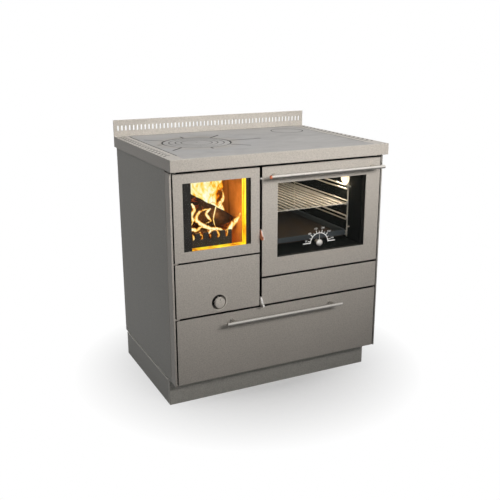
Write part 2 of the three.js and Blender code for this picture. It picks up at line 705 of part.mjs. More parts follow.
/** A ladder rack on one wall of the oven: side is -1 at the left wall and 1 at the right. */
function ovenRack(side) {
  const wall = side < 0 ? OVEN.x[0] : OVEN.x[1];
  const half = RACK.wire / 2;
  const around = (middle) => [middle - half, middle + half];
  const rungX = wall - side * RACK.inset;
  const uprightX = wall - side * RACK.wallInset;
  const towardsWall = [uprightX, wall - side * TOUCH].sort((a, b) => a - b);
  const levels = Array.from({ length: RACK_LEVELS }, (_, i) => RACK.low + i * RACK.pitch);
  const bottom = RACK.low - 8;
  const top = levels[RACK_LEVELS - 1] + RACK.pair + 10;
  const uprights = [RACK.front, RACK.back - 30].flatMap((y) => [
    block(around(uprightX), around(y), [bottom, top]),
    block(towardsWall, around(y), around(bottom + 36)),
    block(towardsWall, around(y), around(top - 16)),
  ]);
  const rungs = levels.flatMap((z) => [z, z + RACK.pair]).map(
    (z) => block(around(rungX), [RACK.front - 4, RACK.back], around(z)),
  );
  return join(...uprights, ...rungs);
}

/** The wire shelf on the rungs of one level. */
function ovenShelf(leftRung, rightRung) {
  const half = SHELF.frame / 2;
  const bottom = RACK.low + SHELF.level * RACK.pitch + RACK.wire / 2 + TOUCH;
  const z = [bottom, bottom + SHELF.wire];
  const y = [RACK.front - 4, RACK.back];
  const frame = [
    block([leftRung - half, leftRung + half], y, z),
    block([rightRung - half, rightRung + half], y, z),
    block([leftRung, rightRung], [y[0], y[0] + SHELF.wire], z),
    block([leftRung, rightRung], [y[1] - SHELF.wire, y[1]], z),
  ];
  const pitch = (rightRung - leftRung) / (SHELF.bars + 1);
  const bars = Array.from({ length: SHELF.bars }, (_, i) => leftRung + (i + 1) * pitch).map(
    (x) => block([x - SHELF.bar / 2, x + SHELF.bar / 2], y, [z[0] + 0.5, z[1] - 0.3]),
  );
  return join(...frame, ...bars);
}

function bakingTray(leftRung, rightRung) {
  const { sheet, inset, top, bottom } = TRAY;
  const x = [leftRung + inset, rightRung - inset];
  const y = [TRAY.front, TRAY.back];
  const flange = block([leftRung, rightRung], y, [top - sheet, top]);
  const hollow = block(
    [x[0] + sheet, x[1] - sheet],
    [y[0] + sheet, y[1] - sheet],
    [bottom + sheet, top + 1],
  );
  return cut(join(flange, block(x, y, [bottom, top])), hollow);
}

function ovenFurniture() {
  const leftRung = OVEN.x[0] + RACK.inset;
  const rightRung = OVEN.x[1] - RACK.inset;
  add('oven_rack_left', ovenRack(-1), 'brightSteel');
  add('oven_rack_right', ovenRack(1), 'brightSteel');
  add('oven_shelf', ovenShelf(leftRung, rightRung), 'brightSteel');
  add('baking_tray', bakingTray(leftRung, rightRung), 'enamel');

  const { front, back, thickness } = OVEN_LAMP;
  const lens = new THREE.CylinderGeometry(front, back, thickness, 16).rotateZ(Math.PI / 2);
  lens.translate(OVEN.x[1] - TOUCH - thickness / 2, OVEN_LAMP.y, OVEN_LAMP.z);
  add('oven_lamp', lens, 'clearGlass');
}

// ---------------------------------------------------------------- doors

// depths of the pane behind a door's face, and of the liner behind the pane
const GLASS_FRONT = PANEL_FRONT + SKIN + TOUCH;
const DOOR_GLASS_Y = [GLASS_FRONT, GLASS_FRONT + DOOR_GLASS];
const LINER_Y = [DOOR_GLASS_Y[1] + TOUCH, PANEL_FRONT + PANEL_DEPTH - 0.4];

/** A frame behind a door's pane. */
function liner(outer, opening) {
  const frame = block(outer.x, LINER_Y, outer.z);
  return cut(frame, block(opening.x, [LINER_Y[0] - 1, LINER_Y[1] + 1], opening.z));
}

function sideHingeHoles(door) {
  return door.z.map((z) => bar('z', SIDE_HINGE.hole, z - 4, z + 4, SIDE_HINGE.x, SIDE_HINGE.y));
}

function latchHole(z) {
  return bar('x', LATCH.hole, FIRE_DOOR.x[1] - 5, FIRE_DOOR.x[1] + 1, LATCH.y, z);
}

/** The latch lever: a curved blade in the gap beside the door, lifted by its nose. */
function latch(z) {
  const shape = new THREE.Shape();
  shape.moveTo(48, z + 5);
  shape.lineTo(30, z + 17);
  shape.quadraticCurveTo(21, z + 19, 16, z + 8);
  shape.quadraticCurveTo(13, z - 1, 5, z - 5);
  shape.quadraticCurveTo(0, z - 8, 2, z - 13);
  shape.quadraticCurveTo(6, z - 18, 15, z - 17);
  shape.quadraticCurveTo(26, z - 15, 32, z - 8);
  shape.lineTo(48, z - 6);
  shape.closePath();
  const blade = sideProfile(shape.getPoints(5).map((p) => [p.x, p.y]), LATCH.x);
  const axle = bar('x', LATCH.axle, FIRE_DOOR.x[1] - 6, LATCH.x[0] + 1, LATCH.y, z);
  return join(blade, axle);
}

function fireboxDoor() {
  const holes = [...sideHingeHoles(FIRE_DOOR), latchHole(LATCH.fireZ)];
  add('firebox_door', cut(pan(FIRE_DOOR, [FIRE_WINDOW]), ...holes), 'satinSteel');
  const glass = grown(FIRE_WINDOW, 9);
  add('firebox_door_glass', block(glass.x, DOOR_GLASS_Y, glass.z), 'clearGlass');
  // left and right the liner shows as dark bands behind the glass; above and below it is out of sight
  const { x, z } = FIRE_DOOR;
  const linerOuter = { x: [x[0] + 14, x[1] - 8], z: [z[0] + 3, z[1] - 3] };
  const linerOpening = { x: [FIRE_LINER_LEFT, FIRE_MOUTH.x[1]], z: grown(FIRE_WINDOW, 5).z };
  add('firebox_door_liner', liner(linerOuter, linerOpening), 'darkSteel');
  add('firebox_latch', latch(LATCH.fireZ), 'brightSteel');
}

function ashDoor() {
  const { x, z, dish, shaft } = AIR_KNOB;
  const { back, sheet, rim, holes, holeCircle } = AIR_DISH;
  const front = PANEL_FRONT + 1;
  const bore = shaft + 0.4;
  const cup = turnedFacingFront([
    [bore, back - sheet],
    [dish, back - sheet],
    [dish, front],
    [dish + rim, front],
    [dish + rim, back],
    [bore, back],
    [bore, back - sheet],
  ], x, z, 24);
  const airHoles = [0, 1, 2, 3].map((i) => {
    const angle = i * Math.PI / 2;
    const across = x + holeCircle * Math.cos(angle);
    const up = z + holeCircle * Math.sin(angle);
    return bar('y', holes, back - sheet - 1, back + 1, across, up, 8);
  });
  const faceHole = bar('y', dish, PANEL_FRONT - 1, PANEL_FRONT + SKIN + 1, x, z, 24);
  const face = cut(pan(ASH_DOOR), faceHole, ...sideHingeHoles(ASH_DOOR), latchHole(LATCH.ashZ));
  add('ash_door', cut(join(face, cup), ...airHoles), 'satinSteel');
  add('ash_latch', latch(LATCH.ashZ), 'brightSteel');
}

/** The air knob with its shaft and the round shutter behind the dish. */
function airKnob() {
  const { x, z, radius, front, shaft, shutter } = AIR_KNOB;
  const behindDish = AIR_DISH.back + 0.6;
  const profile = [
    [0, front],
    [radius - 1.5, front],
    [radius, front + 1.5],
    [radius, PANEL_FRONT + 1],
    [shaft, PANEL_FRONT + 1],
    [shaft, behindDish],
    [shutter, behindDish],
    [shutter, behindDish + AIR_DISH.sheet],
    [0, behindDish + AIR_DISH.sheet],
  ];
  const pointer = bar('y', 1.8, front - 1, front + 1, x, z + radius / 2, 8);
  add('air_knob', cut(turnedFacingFront(profile, x, z, 24), pointer), 'satinSteel');
}

/** The places of a bar handle's two posts, across the stove. */
function handlePostPlaces(handle) {
  return [handle.x - HANDLE.postSpacing / 2, handle.x + HANDLE.postSpacing / 2];
}

/** The holes for a bar handle's studs in the panel's face. */
function studHoles(handle) {
  return handlePostPlaces(handle).map(
    (x) => bar('y', HANDLE.studHole, PANEL_FRONT - 1, PANEL_FRONT + SKIN + 1, x, handle.z, 8),
  );
}

function ovenDoor() {
  const pinHoles = [OVEN_DOOR.x[0], OVEN_DOOR.x[1]].map(
    (x) => bar('x', OVEN_HINGE.hole, x - 4, x + 4, OVEN_HINGE.y, OVEN_HINGE.z),
  );
  const door = cut(pan(OVEN_DOOR, [OVEN_WINDOW]), ...pinHoles, ...studHoles(OVEN_HANDLE));
  add('oven_door', door, 'satinSteel');

  const glass = grown(OVEN_WINDOW, 10);
  const hole = DIAL.spindle + TOUCH;
  const spindleHole = bar('y', hole, DOOR_GLASS_Y[0] - 1, DOOR_GLASS_Y[1] + 1, DIAL.x, DIAL.z);
  add('oven_door_glass', cut(block(glass.x, DOOR_GLASS_Y, glass.z), spindleHole), 'clearGlass');
  const linerBottom = OVEN_HINGE.z + 13;
  const linerOuter = { x: grown(OVEN_DOOR, -4).x, z: [linerBottom, OVEN_DOOR.z[1] - 4] };
  add('oven_door_liner', liner(linerOuter, grown(OVEN_WINDOW, 1)), 'darkSteel');
}

/** A round bar on two posts; each post has a thinner stud through the panel's face. */
function barHandle(handle) {
  const { y, radius, length, postRadius, stud } = HANDLE;
  const grip = bar('x', radius, handle.x - length / 2, handle.x + length / 2, y, handle.z, 16);
  const posts = handlePostPlaces(handle).flatMap((x) => [
    bar('y', postRadius, y, PANEL_FRONT - TOUCH, x, handle.z),
    bar('y', stud, PANEL_FRONT - 2, PANEL_FRONT + SKIN + 4, x, handle.z, 8),
  ]);
  return join(grip, ...posts);
}

/** The thermometer's hub and needle, on a spindle through the glass. */
function thermometer() {
  const { x, z, radius, front, needle, spindle } = DIAL;
  const hubBack = DOOR_GLASS_Y[0] - TOUCH;
  const coilFront = DOOR_GLASS_Y[1] + TOUCH;
  const coil = 9;
  const profile = [
    [0, front],
    [6, front + 0.6],
    [11, front + 2.6],
    [radius, hubBack - 3],
    [radius, hubBack],
    [spindle, hubBack],
    [spindle, coilFront],
    [coil, coilFront],
    [coil, DIAL.back],
    [0, DIAL.back],
  ];
  const hub = turnedFacingFront(profile, x, z, 20);
  const pointer = block([x - 1, x + 1], [hubBack - 1.6, hubBack - 0.4], [z, z + needle]);
  add('thermometer', join(hub, pointer), 'brightSteel');
}

function lowerFronts() {
  add('fascia', pan(FASCIA), 'satinSteel');
  add('drawer_front', cut(pan(DRAWER), ...studHoles(DRAWER_HANDLE)), 'satinSteel');
  const { x, back, z, sheet } = DRAWER_BOX;
  const y = [PANEL_FRONT + PANEL_DEPTH + TOUCH, back];
  const hollow = block([x[0] + sheet, x[1] - sheet], [y[0] + sheet, y[1] - sheet], [z[0] + sheet, z[1] + 1]);
  add('drawer_box', cut(block(x, y, z), hollow), 'galvanised');
}

function handles() {
  add('oven_handle', barHandle(OVEN_HANDLE), 'brightSteel');
  add('drawer_handle', barHandle(DRAWER_HANDLE), 'brightSteel');
}

// ---------------------------------------------------------------- damper

/** The pull rod between the doors and the plate that it draws from under the flue. */
function damper() {
  const { x, z, radius, tip, armY, armWidth, plateZ, thickness } = DAMPER;
  const acrossArm = [armY - armWidth / 2, armY + armWidth / 2];
  const rod = bar('y', radius, tip, acrossArm[1], x, z);
  const upright = block([x - 2, x + 2], acrossArm, [z, plateZ - TOUCH]);
  add('damper_rod', join(rod, upright), 'brightSteel');

  const height = [plateZ, plateZ + thickness];
  const arm = block([x - 5, DAMPER_PLATE.x[0] + 1], acrossArm, height);
  const plate = block(DAMPER_PLATE.x, [acrossArm[0], DAMPER_PLATE.back], height);
  add('damper_plate', join(arm, plate), 'castIron');
}

// ---------------------------------------------------------------- assembly

plinth();
levellingFeet();
baseTray();
sidePanels();
frontPosts();
frontFrame();
rearPanel();
drawerCompartment();
worktopFrame();
hotplate();
hobPieces();
flueParts();
backsplash();
fireboxCasing();
firebricks();
fireGrate();
logGuard();
ashPan();
ovenBox();
ovenFurniture();
fireboxDoor();
ashDoor();
airKnob();
ovenDoor();
thermometer();
lowerFronts();
handles();
damper();

// the footprint runs from the front of the handles to the back of the worktop
const handleFront = HANDLE.y - HANDLE.radius;
stove.position.y = -(handleFront + DEPTH) / 2;

export default stove;
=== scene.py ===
"""Finishes, fire, oven fittings, dial and studio of a wood cookstove, on its CAD frame.

Lengths are metres in the frame's axes. Places on the stove are given to place() as the
drawing gives them: millimetres across from the middle, back from the worktop's front edge
and up from the floor.
"""

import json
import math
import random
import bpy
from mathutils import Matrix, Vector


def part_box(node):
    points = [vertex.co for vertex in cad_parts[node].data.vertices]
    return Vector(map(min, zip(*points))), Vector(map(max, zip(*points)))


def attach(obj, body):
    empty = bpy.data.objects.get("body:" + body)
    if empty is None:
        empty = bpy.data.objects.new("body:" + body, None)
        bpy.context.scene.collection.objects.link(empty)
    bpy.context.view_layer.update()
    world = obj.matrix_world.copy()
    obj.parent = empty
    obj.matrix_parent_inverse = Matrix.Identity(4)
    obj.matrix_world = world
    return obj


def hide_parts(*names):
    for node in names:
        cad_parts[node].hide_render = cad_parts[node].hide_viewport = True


bl_info = {
    "name": "Wood cookstove",
    "version": (1, 0, 0),
    "blender": (4, 5, 0),
    "location": "3D View > Sidebar > Stove",
    "description": "Dresses the frame of a wood cookstove with finishes, fire and fittings",
    "category": "Add Mesh",
}

from functools import partial, reduce

import bmesh
import bpy
from bpy.props import FloatProperty, FloatVectorProperty, IntProperty, PointerProperty
from mathutils import Matrix, Vector, noise

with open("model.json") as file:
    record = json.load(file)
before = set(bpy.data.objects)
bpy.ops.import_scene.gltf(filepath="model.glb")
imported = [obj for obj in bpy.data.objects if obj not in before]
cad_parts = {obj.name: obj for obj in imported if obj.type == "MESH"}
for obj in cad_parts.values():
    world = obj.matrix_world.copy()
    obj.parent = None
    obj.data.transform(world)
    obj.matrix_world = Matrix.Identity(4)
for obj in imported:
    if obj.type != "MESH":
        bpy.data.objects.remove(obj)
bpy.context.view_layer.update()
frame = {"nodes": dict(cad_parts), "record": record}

RECORD = frame["record"]
SLOT_OF = {part["node"]: part["material_slot"] for part in RECORD["subparts"]}
BODY_OF = {
    node: body
    for body, nodes in RECORD["behaviour"]["bodies"].items()
    for node in nodes
}
FRONT_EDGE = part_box("worktop")[0].y
PIXELS = 500

# the camera that took the photograph
CAMERA_PLACE = (-1.13993, -2.34876, 1.21022)
CAMERA_AZIMUTH = math.radians(-26.054)
CAMERA_ELEVATION = math.radians(16.387)
CAMERA_ROLL = math.radians(-0.113)
FOCAL_PIXELS = 732.095

# places on the stove, in millimetres of the drawing
HOB = (-185, 318)
HOB_RADII = (119.5, 96.5, 74.5, 54.5)
HOB_GAPS = (2.5, 0.8, 0.8, 0.8)
EXPANSION_ENDS = (251, 206, 161, 203, 143, 196, 150, 200)
FLUE = (255, 466)
FLUE_COVER = 61.5
TOP = 850
PLATE_BACK = 588
VENT_START = 83
VENT_PITCH = 28
VENT_HOLES = 18
VENT_OUTER = 386.5
VENT_INNER = 372.5
DIAL = (146, 519.5)
AIR_KNOB = (-235.5, 364.5)
HANDLE_DEPTH = -12
HANDLE_LENGTH = 446
HANDLE_POSTS = 384
HANDLES = {"oven_handle": (156, 773), "drawer_handle": (1, 295.5)}
DOOR_FACE = 25
RACK_WALLS = {"oven_rack_left": (-16, 1), "oven_rack_right": (328, -1)}
RACK_RUNGS = (508, 522, 564, 578, 620, 634, 676, 690)
FIRE_MOUTH = ((-330, -132), (541, 776))
RACK_SPAN = (112, 536)
RACK_INSET = 15.5
SHELF_HEIGHT = 624.8
SHELF_BARS = 13
PRINT_DEPTH = 27.66

# the stretch of the sheet's grain along x, y and z
ACROSS = (16.0, 420.0, 420.0)
INWARD = (420.0, 16.0, 420.0)

# painted shade: the recess walls and cut openings, and the gaps and slots of the plate
PAINTED_RECESS_SHADE = (0.02, 0.019, 0.018)
PAINTED_GAP_SHADE = (0.03, 0.028, 0.026)

# parts of the oven's light given to its lamp and to the soft fill above the shelf
OVEN_LAMP_SHARE = 0.2
OVEN_FILL_SHARE = 0.1


# ------------------------------------------------------------------ sizes and colours


def length(name, description, default):
    return FloatProperty(name=name, description=description, default=default, unit="LENGTH", min=0.0)


def colour(name, description, default):
    return FloatVectorProperty(
        name=name, description=description, default=default, subtype="COLOR", size=3, min=0.0, max=1.0
    )


class StoveSizes(bpy.types.PropertyGroup):
    """Sizes of the fine detail that the frame leaves out."""

    fold: length("Fold radius", "Rounding of the folded sheet's edges", 0.0009)
    handle: length("Handle radius", "Radius of the two bar handles", 0.006)
    rack_wire: length("Rack wire", "Radius of the oven racks' wires", 0.0025)
    shelf_bar: length("Shelf bar", "Radius of the wire shelf's bars", 0.0035)
    seal: length("Door seal", "Radius of the rope seals behind the doors", 0.0016)
    numeral: length("Numeral height", "Height of the dial's numbers", 0.0088)
    embers: IntProperty(name="Embers", description="Glowing lumps on the grate", default=80, min=1)


class StoveColours(bpy.types.PropertyGroup):
    """Base colours of the stove's finishes."""

    satin_steel: colour("Satin steel", "Doors, worktop, backsplash and drawer", (0.60, 0.565, 0.52))
    body_steel: colour("Body steel", "Side panels, right post and plinth", (0.44, 0.43, 0.40))
    plate_steel: colour("Plate steel", "Hotplate, rings and flue cover", (0.52, 0.51, 0.50))
    dark_steel: colour("Dark steel", "Painted rails, liners and firebox", (0.045, 0.044, 0.043))
    bright_steel: colour("Bright steel", "Latches, damper rod and screws", (0.78, 0.76, 0.73))
    handle_steel: colour("Handle steel", "Bar handles and dial hub", (0.72, 0.69, 0.64))
    cast_iron: colour("Cast iron", "Grate, log guard, damper and flue collar", (0.055, 0.055, 0.058))
    firebrick: colour("Firebrick", "Lining of the firebox", (0.72, 0.46, 0.26))
    enamel: colour("Enamel", "Oven and baking tray", (0.009, 0.0105, 0.01))
    galvanised: colour("Galvanised sheet", "Back, base, drawer box and ash pan", (0.50, 0.52, 0.53))
    rubber: colour("Rubber", "Levelling feet", (0.05, 0.05, 0.05))
    print: colour("Dial print", "Scale and numbers on the oven glass", (0.88, 0.88, 0.86))


class StoveLight(bpy.types.PropertyGroup):
    """Strengths of the studio lamps and of the stove's own light."""

    front: FloatProperty(name="Front lamp", description="Power of the lamp above the front", default=6.5)
    top: FloatProperty(name="Top lamp", description="Power of the lamp overhead", default=15.0)
    left: FloatProperty(name="Left lamp", description="Power of the lamp on the left", default=1.0)
    ambient: FloatProperty(name="Ambient", description="Strength of the even light all round", default=0.1)
    fire: FloatProperty(name="Fire", description="Power of each light in the firebox", default=0.36)
    oven: FloatProperty(name="Oven lamp", description="Strength of the light in the oven", default=3.8)


# ------------------------------------------------------------------ node materials


class Finish:
    """A material and short ways to add the nodes of its colour, gloss and relief."""

    def __init__(self, name):
        self.material = bpy.data.materials.new(name + "_finish")
        self.material.use_nodes = True
        self.tree = self.material.node_tree
        self.shader = self.tree.nodes["Principled BSDF"]
        self.where = self.node("ShaderNodeTexCoord").outputs["Object"]

    def node(self, kind, inputs=None, **settings):
        made = self.tree.nodes.new(kind)
        for key, value in settings.items():
            setattr(made, key, value)
        for key, value in (inputs or {}).items():
            self.feed(made.inputs[key], value)
        return made

    def feed(self, socket, value):
        if isinstance(value, bpy.types.NodeSocket):
            self.tree.links.new(value, socket)
        else:
            socket.default_value = value

    def set(self, **values):
        """Sets the shader's own sockets; metallic=..., base_color=... and so on."""
        for key, value in values.items():
            self.feed(self.shader.inputs[key.replace("_", " ").title().replace("Ior", "IOR")], value)

    def stretched(self, scale, shift=(0.0, 0.0, 0.0)):
        return self.node(
            "ShaderNodeMapping", {"Vector": self.where, "Scale": scale, "Location": shift}
        ).outputs[0]

    def noise(self, scale, detail=3.0, rough=0.5, vector=None, distortion=0.0):
        return self.node("ShaderNodeTexNoise", {
            "Vector": vector or self.where, "Scale": scale, "Detail": detail,
            "Roughness": rough, "Distortion": distortion,
        }).outputs[0]

    def cells(self, scale, feature="F1", output=0, vector=None):
        return self.node(
            "ShaderNodeTexVoronoi", {"Vector": vector or self.where, "Scale": scale}, feature=feature
        ).outputs[output]

    def calc(self, operation, first, second=None, third=None, clamp=False):
        """A maths node; operation is Blender's own word for it."""
        made = self.node("ShaderNodeMath", operation=operation, use_clamp=clamp)
        for socket, value in zip(made.inputs, (first, second, third)):
            if value is not None:
                self.feed(socket, value)
        return made.outputs[0]

    def plus(self, first, second):
        return self.calc("ADD", first, second)

    def less(self, first, second, clamp=False):
        return self.calc("SUBTRACT", first, second, clamp=clamp)

    def times(self, *values):
        return reduce(partial(self.calc, "MULTIPLY"), values)

    def highest(self, *values):
        return reduce(partial(self.calc, "MAXIMUM"), values)

    def unsigned(self, value):
        return self.calc("ABSOLUTE", value)

    def apart(self, first, second):
        """How far two values are from each other."""
        return self.unsigned(self.less(first, second))

    def blend(self, *parts):
        """A weighted sum of values; each part is (value, weight)."""
        total = None
        for value, weight in parts:
            scaled = self.times(value, weight)
            total = scaled if total is None else self.plus(total, scaled)
        return total

    def span(self, value, low, high, start=0.0, end=1.0):
        return self.node("ShaderNodeMapRange", {
            "Value": value, "From Min": low, "From Max": high, "To Min": start, "To Max": end,
        }).outputs[0]

    def ramp(self, value, *stops):
        """A colour ramp; each stop is (position, colour)."""
        made = self.node("ShaderNodeValToRGB", {"Fac": value})
        elements = made.color_ramp.elements
        while len(elements) < len(stops):
            elements.new(1.0)
        for element, (position, tone) in zip(elements, stops):
            element.position = position
            element.color = (*tone, 1.0)
        return made.outputs[0]

    def mix(self, amount, first, second, blend_type="MIX"):
        made = self.node("ShaderNodeMix", data_type="RGBA", blend_type=blend_type)
        self.feed(made.inputs[0], amount)
        for socket, value in ((made.inputs[6], first), (made.inputs[7], second)):
            self.feed(socket, value if isinstance(value, bpy.types.NodeSocket) else (*value, 1.0))
        return made.outputs[2]

    def axis(self, letter):
        return self.node("ShaderNodeSeparateXYZ", {0: self.where}).outputs["XYZ".index(letter)]

    def dot(self, vector, direction):
        return self.node(
            "ShaderNodeVectorMath", {0: vector, 1: direction}, operation="DOT_PRODUCT"
        ).outputs["Value"]

    def length(self, vector):
        return self.node("ShaderNodeVectorMath", {0: vector}, operation="LENGTH").outputs["Value"]

    def overlay(self, amount, above):
        """Covers the shader's colour with another one where amount is 1."""
        socket = self.shader.inputs["Base Color"]
        self.feed(socket, self.mix(amount, socket.links[0].from_socket, above))

    def relief(self, height, strength, distance):
        bump = self.node("ShaderNodeBump", {
            "Height": height, "Strength": strength, "Distance": distance,
        })
        self.feed(self.shader.inputs["Normal"], bump.outputs[0])


def tone(base, factor):
    return tuple(min(1.0, channel * factor) for channel in base)


def colours():
    return bpy.context.scene.stove_colours


def offset_from(finish, spot):
    """The level distance from a place on the stove, given as (across, depth)."""
    x, y, _ = place(*spot, 0)
    return finish.stretched((1.0, 1.0, 0.0), (-x, -y, 0.0))


def paint_recess_shade(finish):
    """Paints shade on what lies below the upper face of the plate and its rings: their recess walls are
    painted dark.
    """
    top = TOP / 1000
    finish.overlay(finish.span(finish.axis("Z"), top - 0.0012, top - 0.0006, 1.0, 0.0), PAINTED_RECESS_SHADE)


def sheet_steel(name, base, grain, roughness=0.46):
    """Satin sheet, finely speckled and faintly drawn; grain is the stretch along x, y and z."""
    finish = Finish(name)
    streaks = finish.noise(1.0, 4.0, 0.65, finish.stretched(grain))
    speckle = finish.noise(240.0, 2.0, 0.75)
    clouds = finish.noise(2.6, 2.0)
    value = finish.blend((streaks, 0.1), (speckle, 0.7), (clouds, 0.2))
    finish.set(
        base_color=finish.ramp(value, (0.36, tone(base, 0.84)), (0.5, base), (0.66, tone(base, 1.14))),
        roughness=finish.span(value, 0.3, 0.7, roughness - 0.07, roughness + 0.09),
        specular_ior_level=0.12,
    )
    finish.relief(speckle, 0.1, 0.0002)
    return finish


def satin_steel():
    return sheet_steel("satin_steel", colours().satin_steel, ACROSS).material


def door_steel():
    """Satin steel skin; what lies behind its face is painted dark as the shade in the gaps between doors,
    and the air knob's dish has a painted shade on its upper left and a painted highlight on its lower right
    rim.
    """
    finish = sheet_steel("door_steel", colours().satin_steel, ACROSS)
    front = place(0, DOOR_FACE, 0).y
    # painted shade: faces more than 1.6 mm behind the front, such as the returns in the gaps between doors,
    # are darkened
    behind = finish.span(finish.axis("Y"), front + 0.0008, front + 0.0016)
    x, _, z = place(AIR_KNOB[0], 0, AIR_KNOB[1])
    centred = finish.stretched((1.0, 0.0, 1.0), (-x, 0.0, -z))
    away = finish.length(centred)
    # painted shade in the air knob's dish: dark on its upper left side, left light on its lower right
    slope = finish.plus(finish.less(finish.axis("X"), x), finish.less(z, finish.axis("Z")))
    dish = finish.times(finish.span(away, 0.03, 0.031, 1.0, 0.0), finish.span(slope, -0.014, 0.03))
    finish.overlay(finish.less(behind, dish, clamp=True), (0.022, 0.021, 0.02))
    # painted highlight on the lower right of the dish's rim
    rim = finish.span(finish.apart(away, 0.0275), 0.0008, 0.002, 0.8, 0.0)
    finish.overlay(finish.times(rim, finish.span(slope, 0.0, 0.02)), tone(colours().satin_steel, 1.5))
    return finish.material


def knob_steel():
    return sheet_steel("knob_steel", tone(colours().satin_steel, 1.28), (300.0, 300.0, 300.0)).material


def worktop_steel():
    """Satin steel worktop; the insides of its cut openings are painted dark as shade, and so is the pattern
    of its vent holes.
    """
    finish = sheet_steel("worktop_steel", colours().satin_steel, ACROSS)
    # painted shade: the faces behind the front fold and below the top are darkened
    across = finish.span(finish.unsigned(finish.axis("X")), 0.3972, 0.3978, 1.0, 0.0)
    along = finish.span(finish.axis("Y"), FRONT_EDGE + 0.0022, FRONT_EDGE + 0.0028)
    below = finish.span(finish.axis("Z"), TOP / 1000 - 0.0008, TOP / 1000 - 0.0003, 1.0, 0.0)
    finish.overlay(finish.times(across, along, below), PAINTED_RECESS_SHADE)
    side = finish.unsigned(finish.axis("X"))
    start = place(0, VENT_START, 0).y
    holes = []
    for row, shift, tilt in ((VENT_OUTER, 0.0, 1), (VENT_INNER, VENT_PITCH / 2, -1)):
        away = finish.less(side, row / 1000)
        signed = finish.times(away, finish.calc("SIGN", finish.axis("X")))
        step = finish.calc(
            "WRAP", finish.less(finish.axis("Y"), start + shift / 1000),
            VENT_PITCH / 2000, -VENT_PITCH / 2000,
        )
        lean = finish.times(signed, 0.64 * tilt)
        band = finish.span(finish.apart(step, lean), 0.003, 0.0046, 0.95, 0.0)
        reach = finish.span(finish.unsigned(away), 0.0058, 0.0068, 1.0, 0.0)
        holes.append(finish.times(band, reach))
    # painted shade of the vent holes: their slanted pattern is painted dark near the top face
    level = finish.span(finish.axis("Z"), TOP / 1000 - 0.003, TOP / 1000 - 0.002)
    first = place(0, VENT_START - 6, 0).y
    last = place(0, VENT_START + (VENT_HOLES - 0.5) * VENT_PITCH + 6, 0).y
    run = finish.times(
        finish.span(finish.axis("Y"), first - 0.0005, first),
        finish.span(finish.axis("Y"), last, last + 0.0005, 1.0, 0.0),
    )
    finish.overlay(finish.times(finish.highest(*holes), level, run), (0.025, 0.024, 0.022))
    return finish.material


def side_steel():
    """Side sheet with painted highlights on its folded edges at the front and the top, and on the plinth's
    top ledge.
    """
    finish = sheet_steel("side_steel", colours().body_steel, INWARD, 0.5)
    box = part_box("side_panel_left")
    # painted highlights along the front and top folds
    front = finish.span(finish.axis("Y"), box[0].y + 0.0012, box[0].y + 0.0035, 0.55, 0.0)
    top = finish.span(finish.axis("Z"), box[1].z - 0.003, box[1].z - 0.001, 0.0, 0.3)
    finish.overlay(finish.highest(front, top), tone(colours().body_steel, 1.9))
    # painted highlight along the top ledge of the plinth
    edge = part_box("plinth_left")[1].z
    ledge = finish.times(
        finish.span(finish.axis("Z"), edge - 0.004, edge - 0.002, 0.0, 0.75),
        finish.span(finish.axis("Z"), edge, edge + 0.0004, 1.0, 0.0),
    )
    finish.overlay(ledge, tone(colours().body_steel, 2.2))
    return finish.material


def body_steel():
    return sheet_steel("body_steel", colours().body_steel, ACROSS, 0.5).material


def plinth_brightened_steel():
    # body steel made lighter for the plinth: painted light that lifts the shade under the drawer
    base = tone(colours().body_steel, 1.45)
    return sheet_steel("plinth_brightened_steel", base, ACROSS, 0.5).material


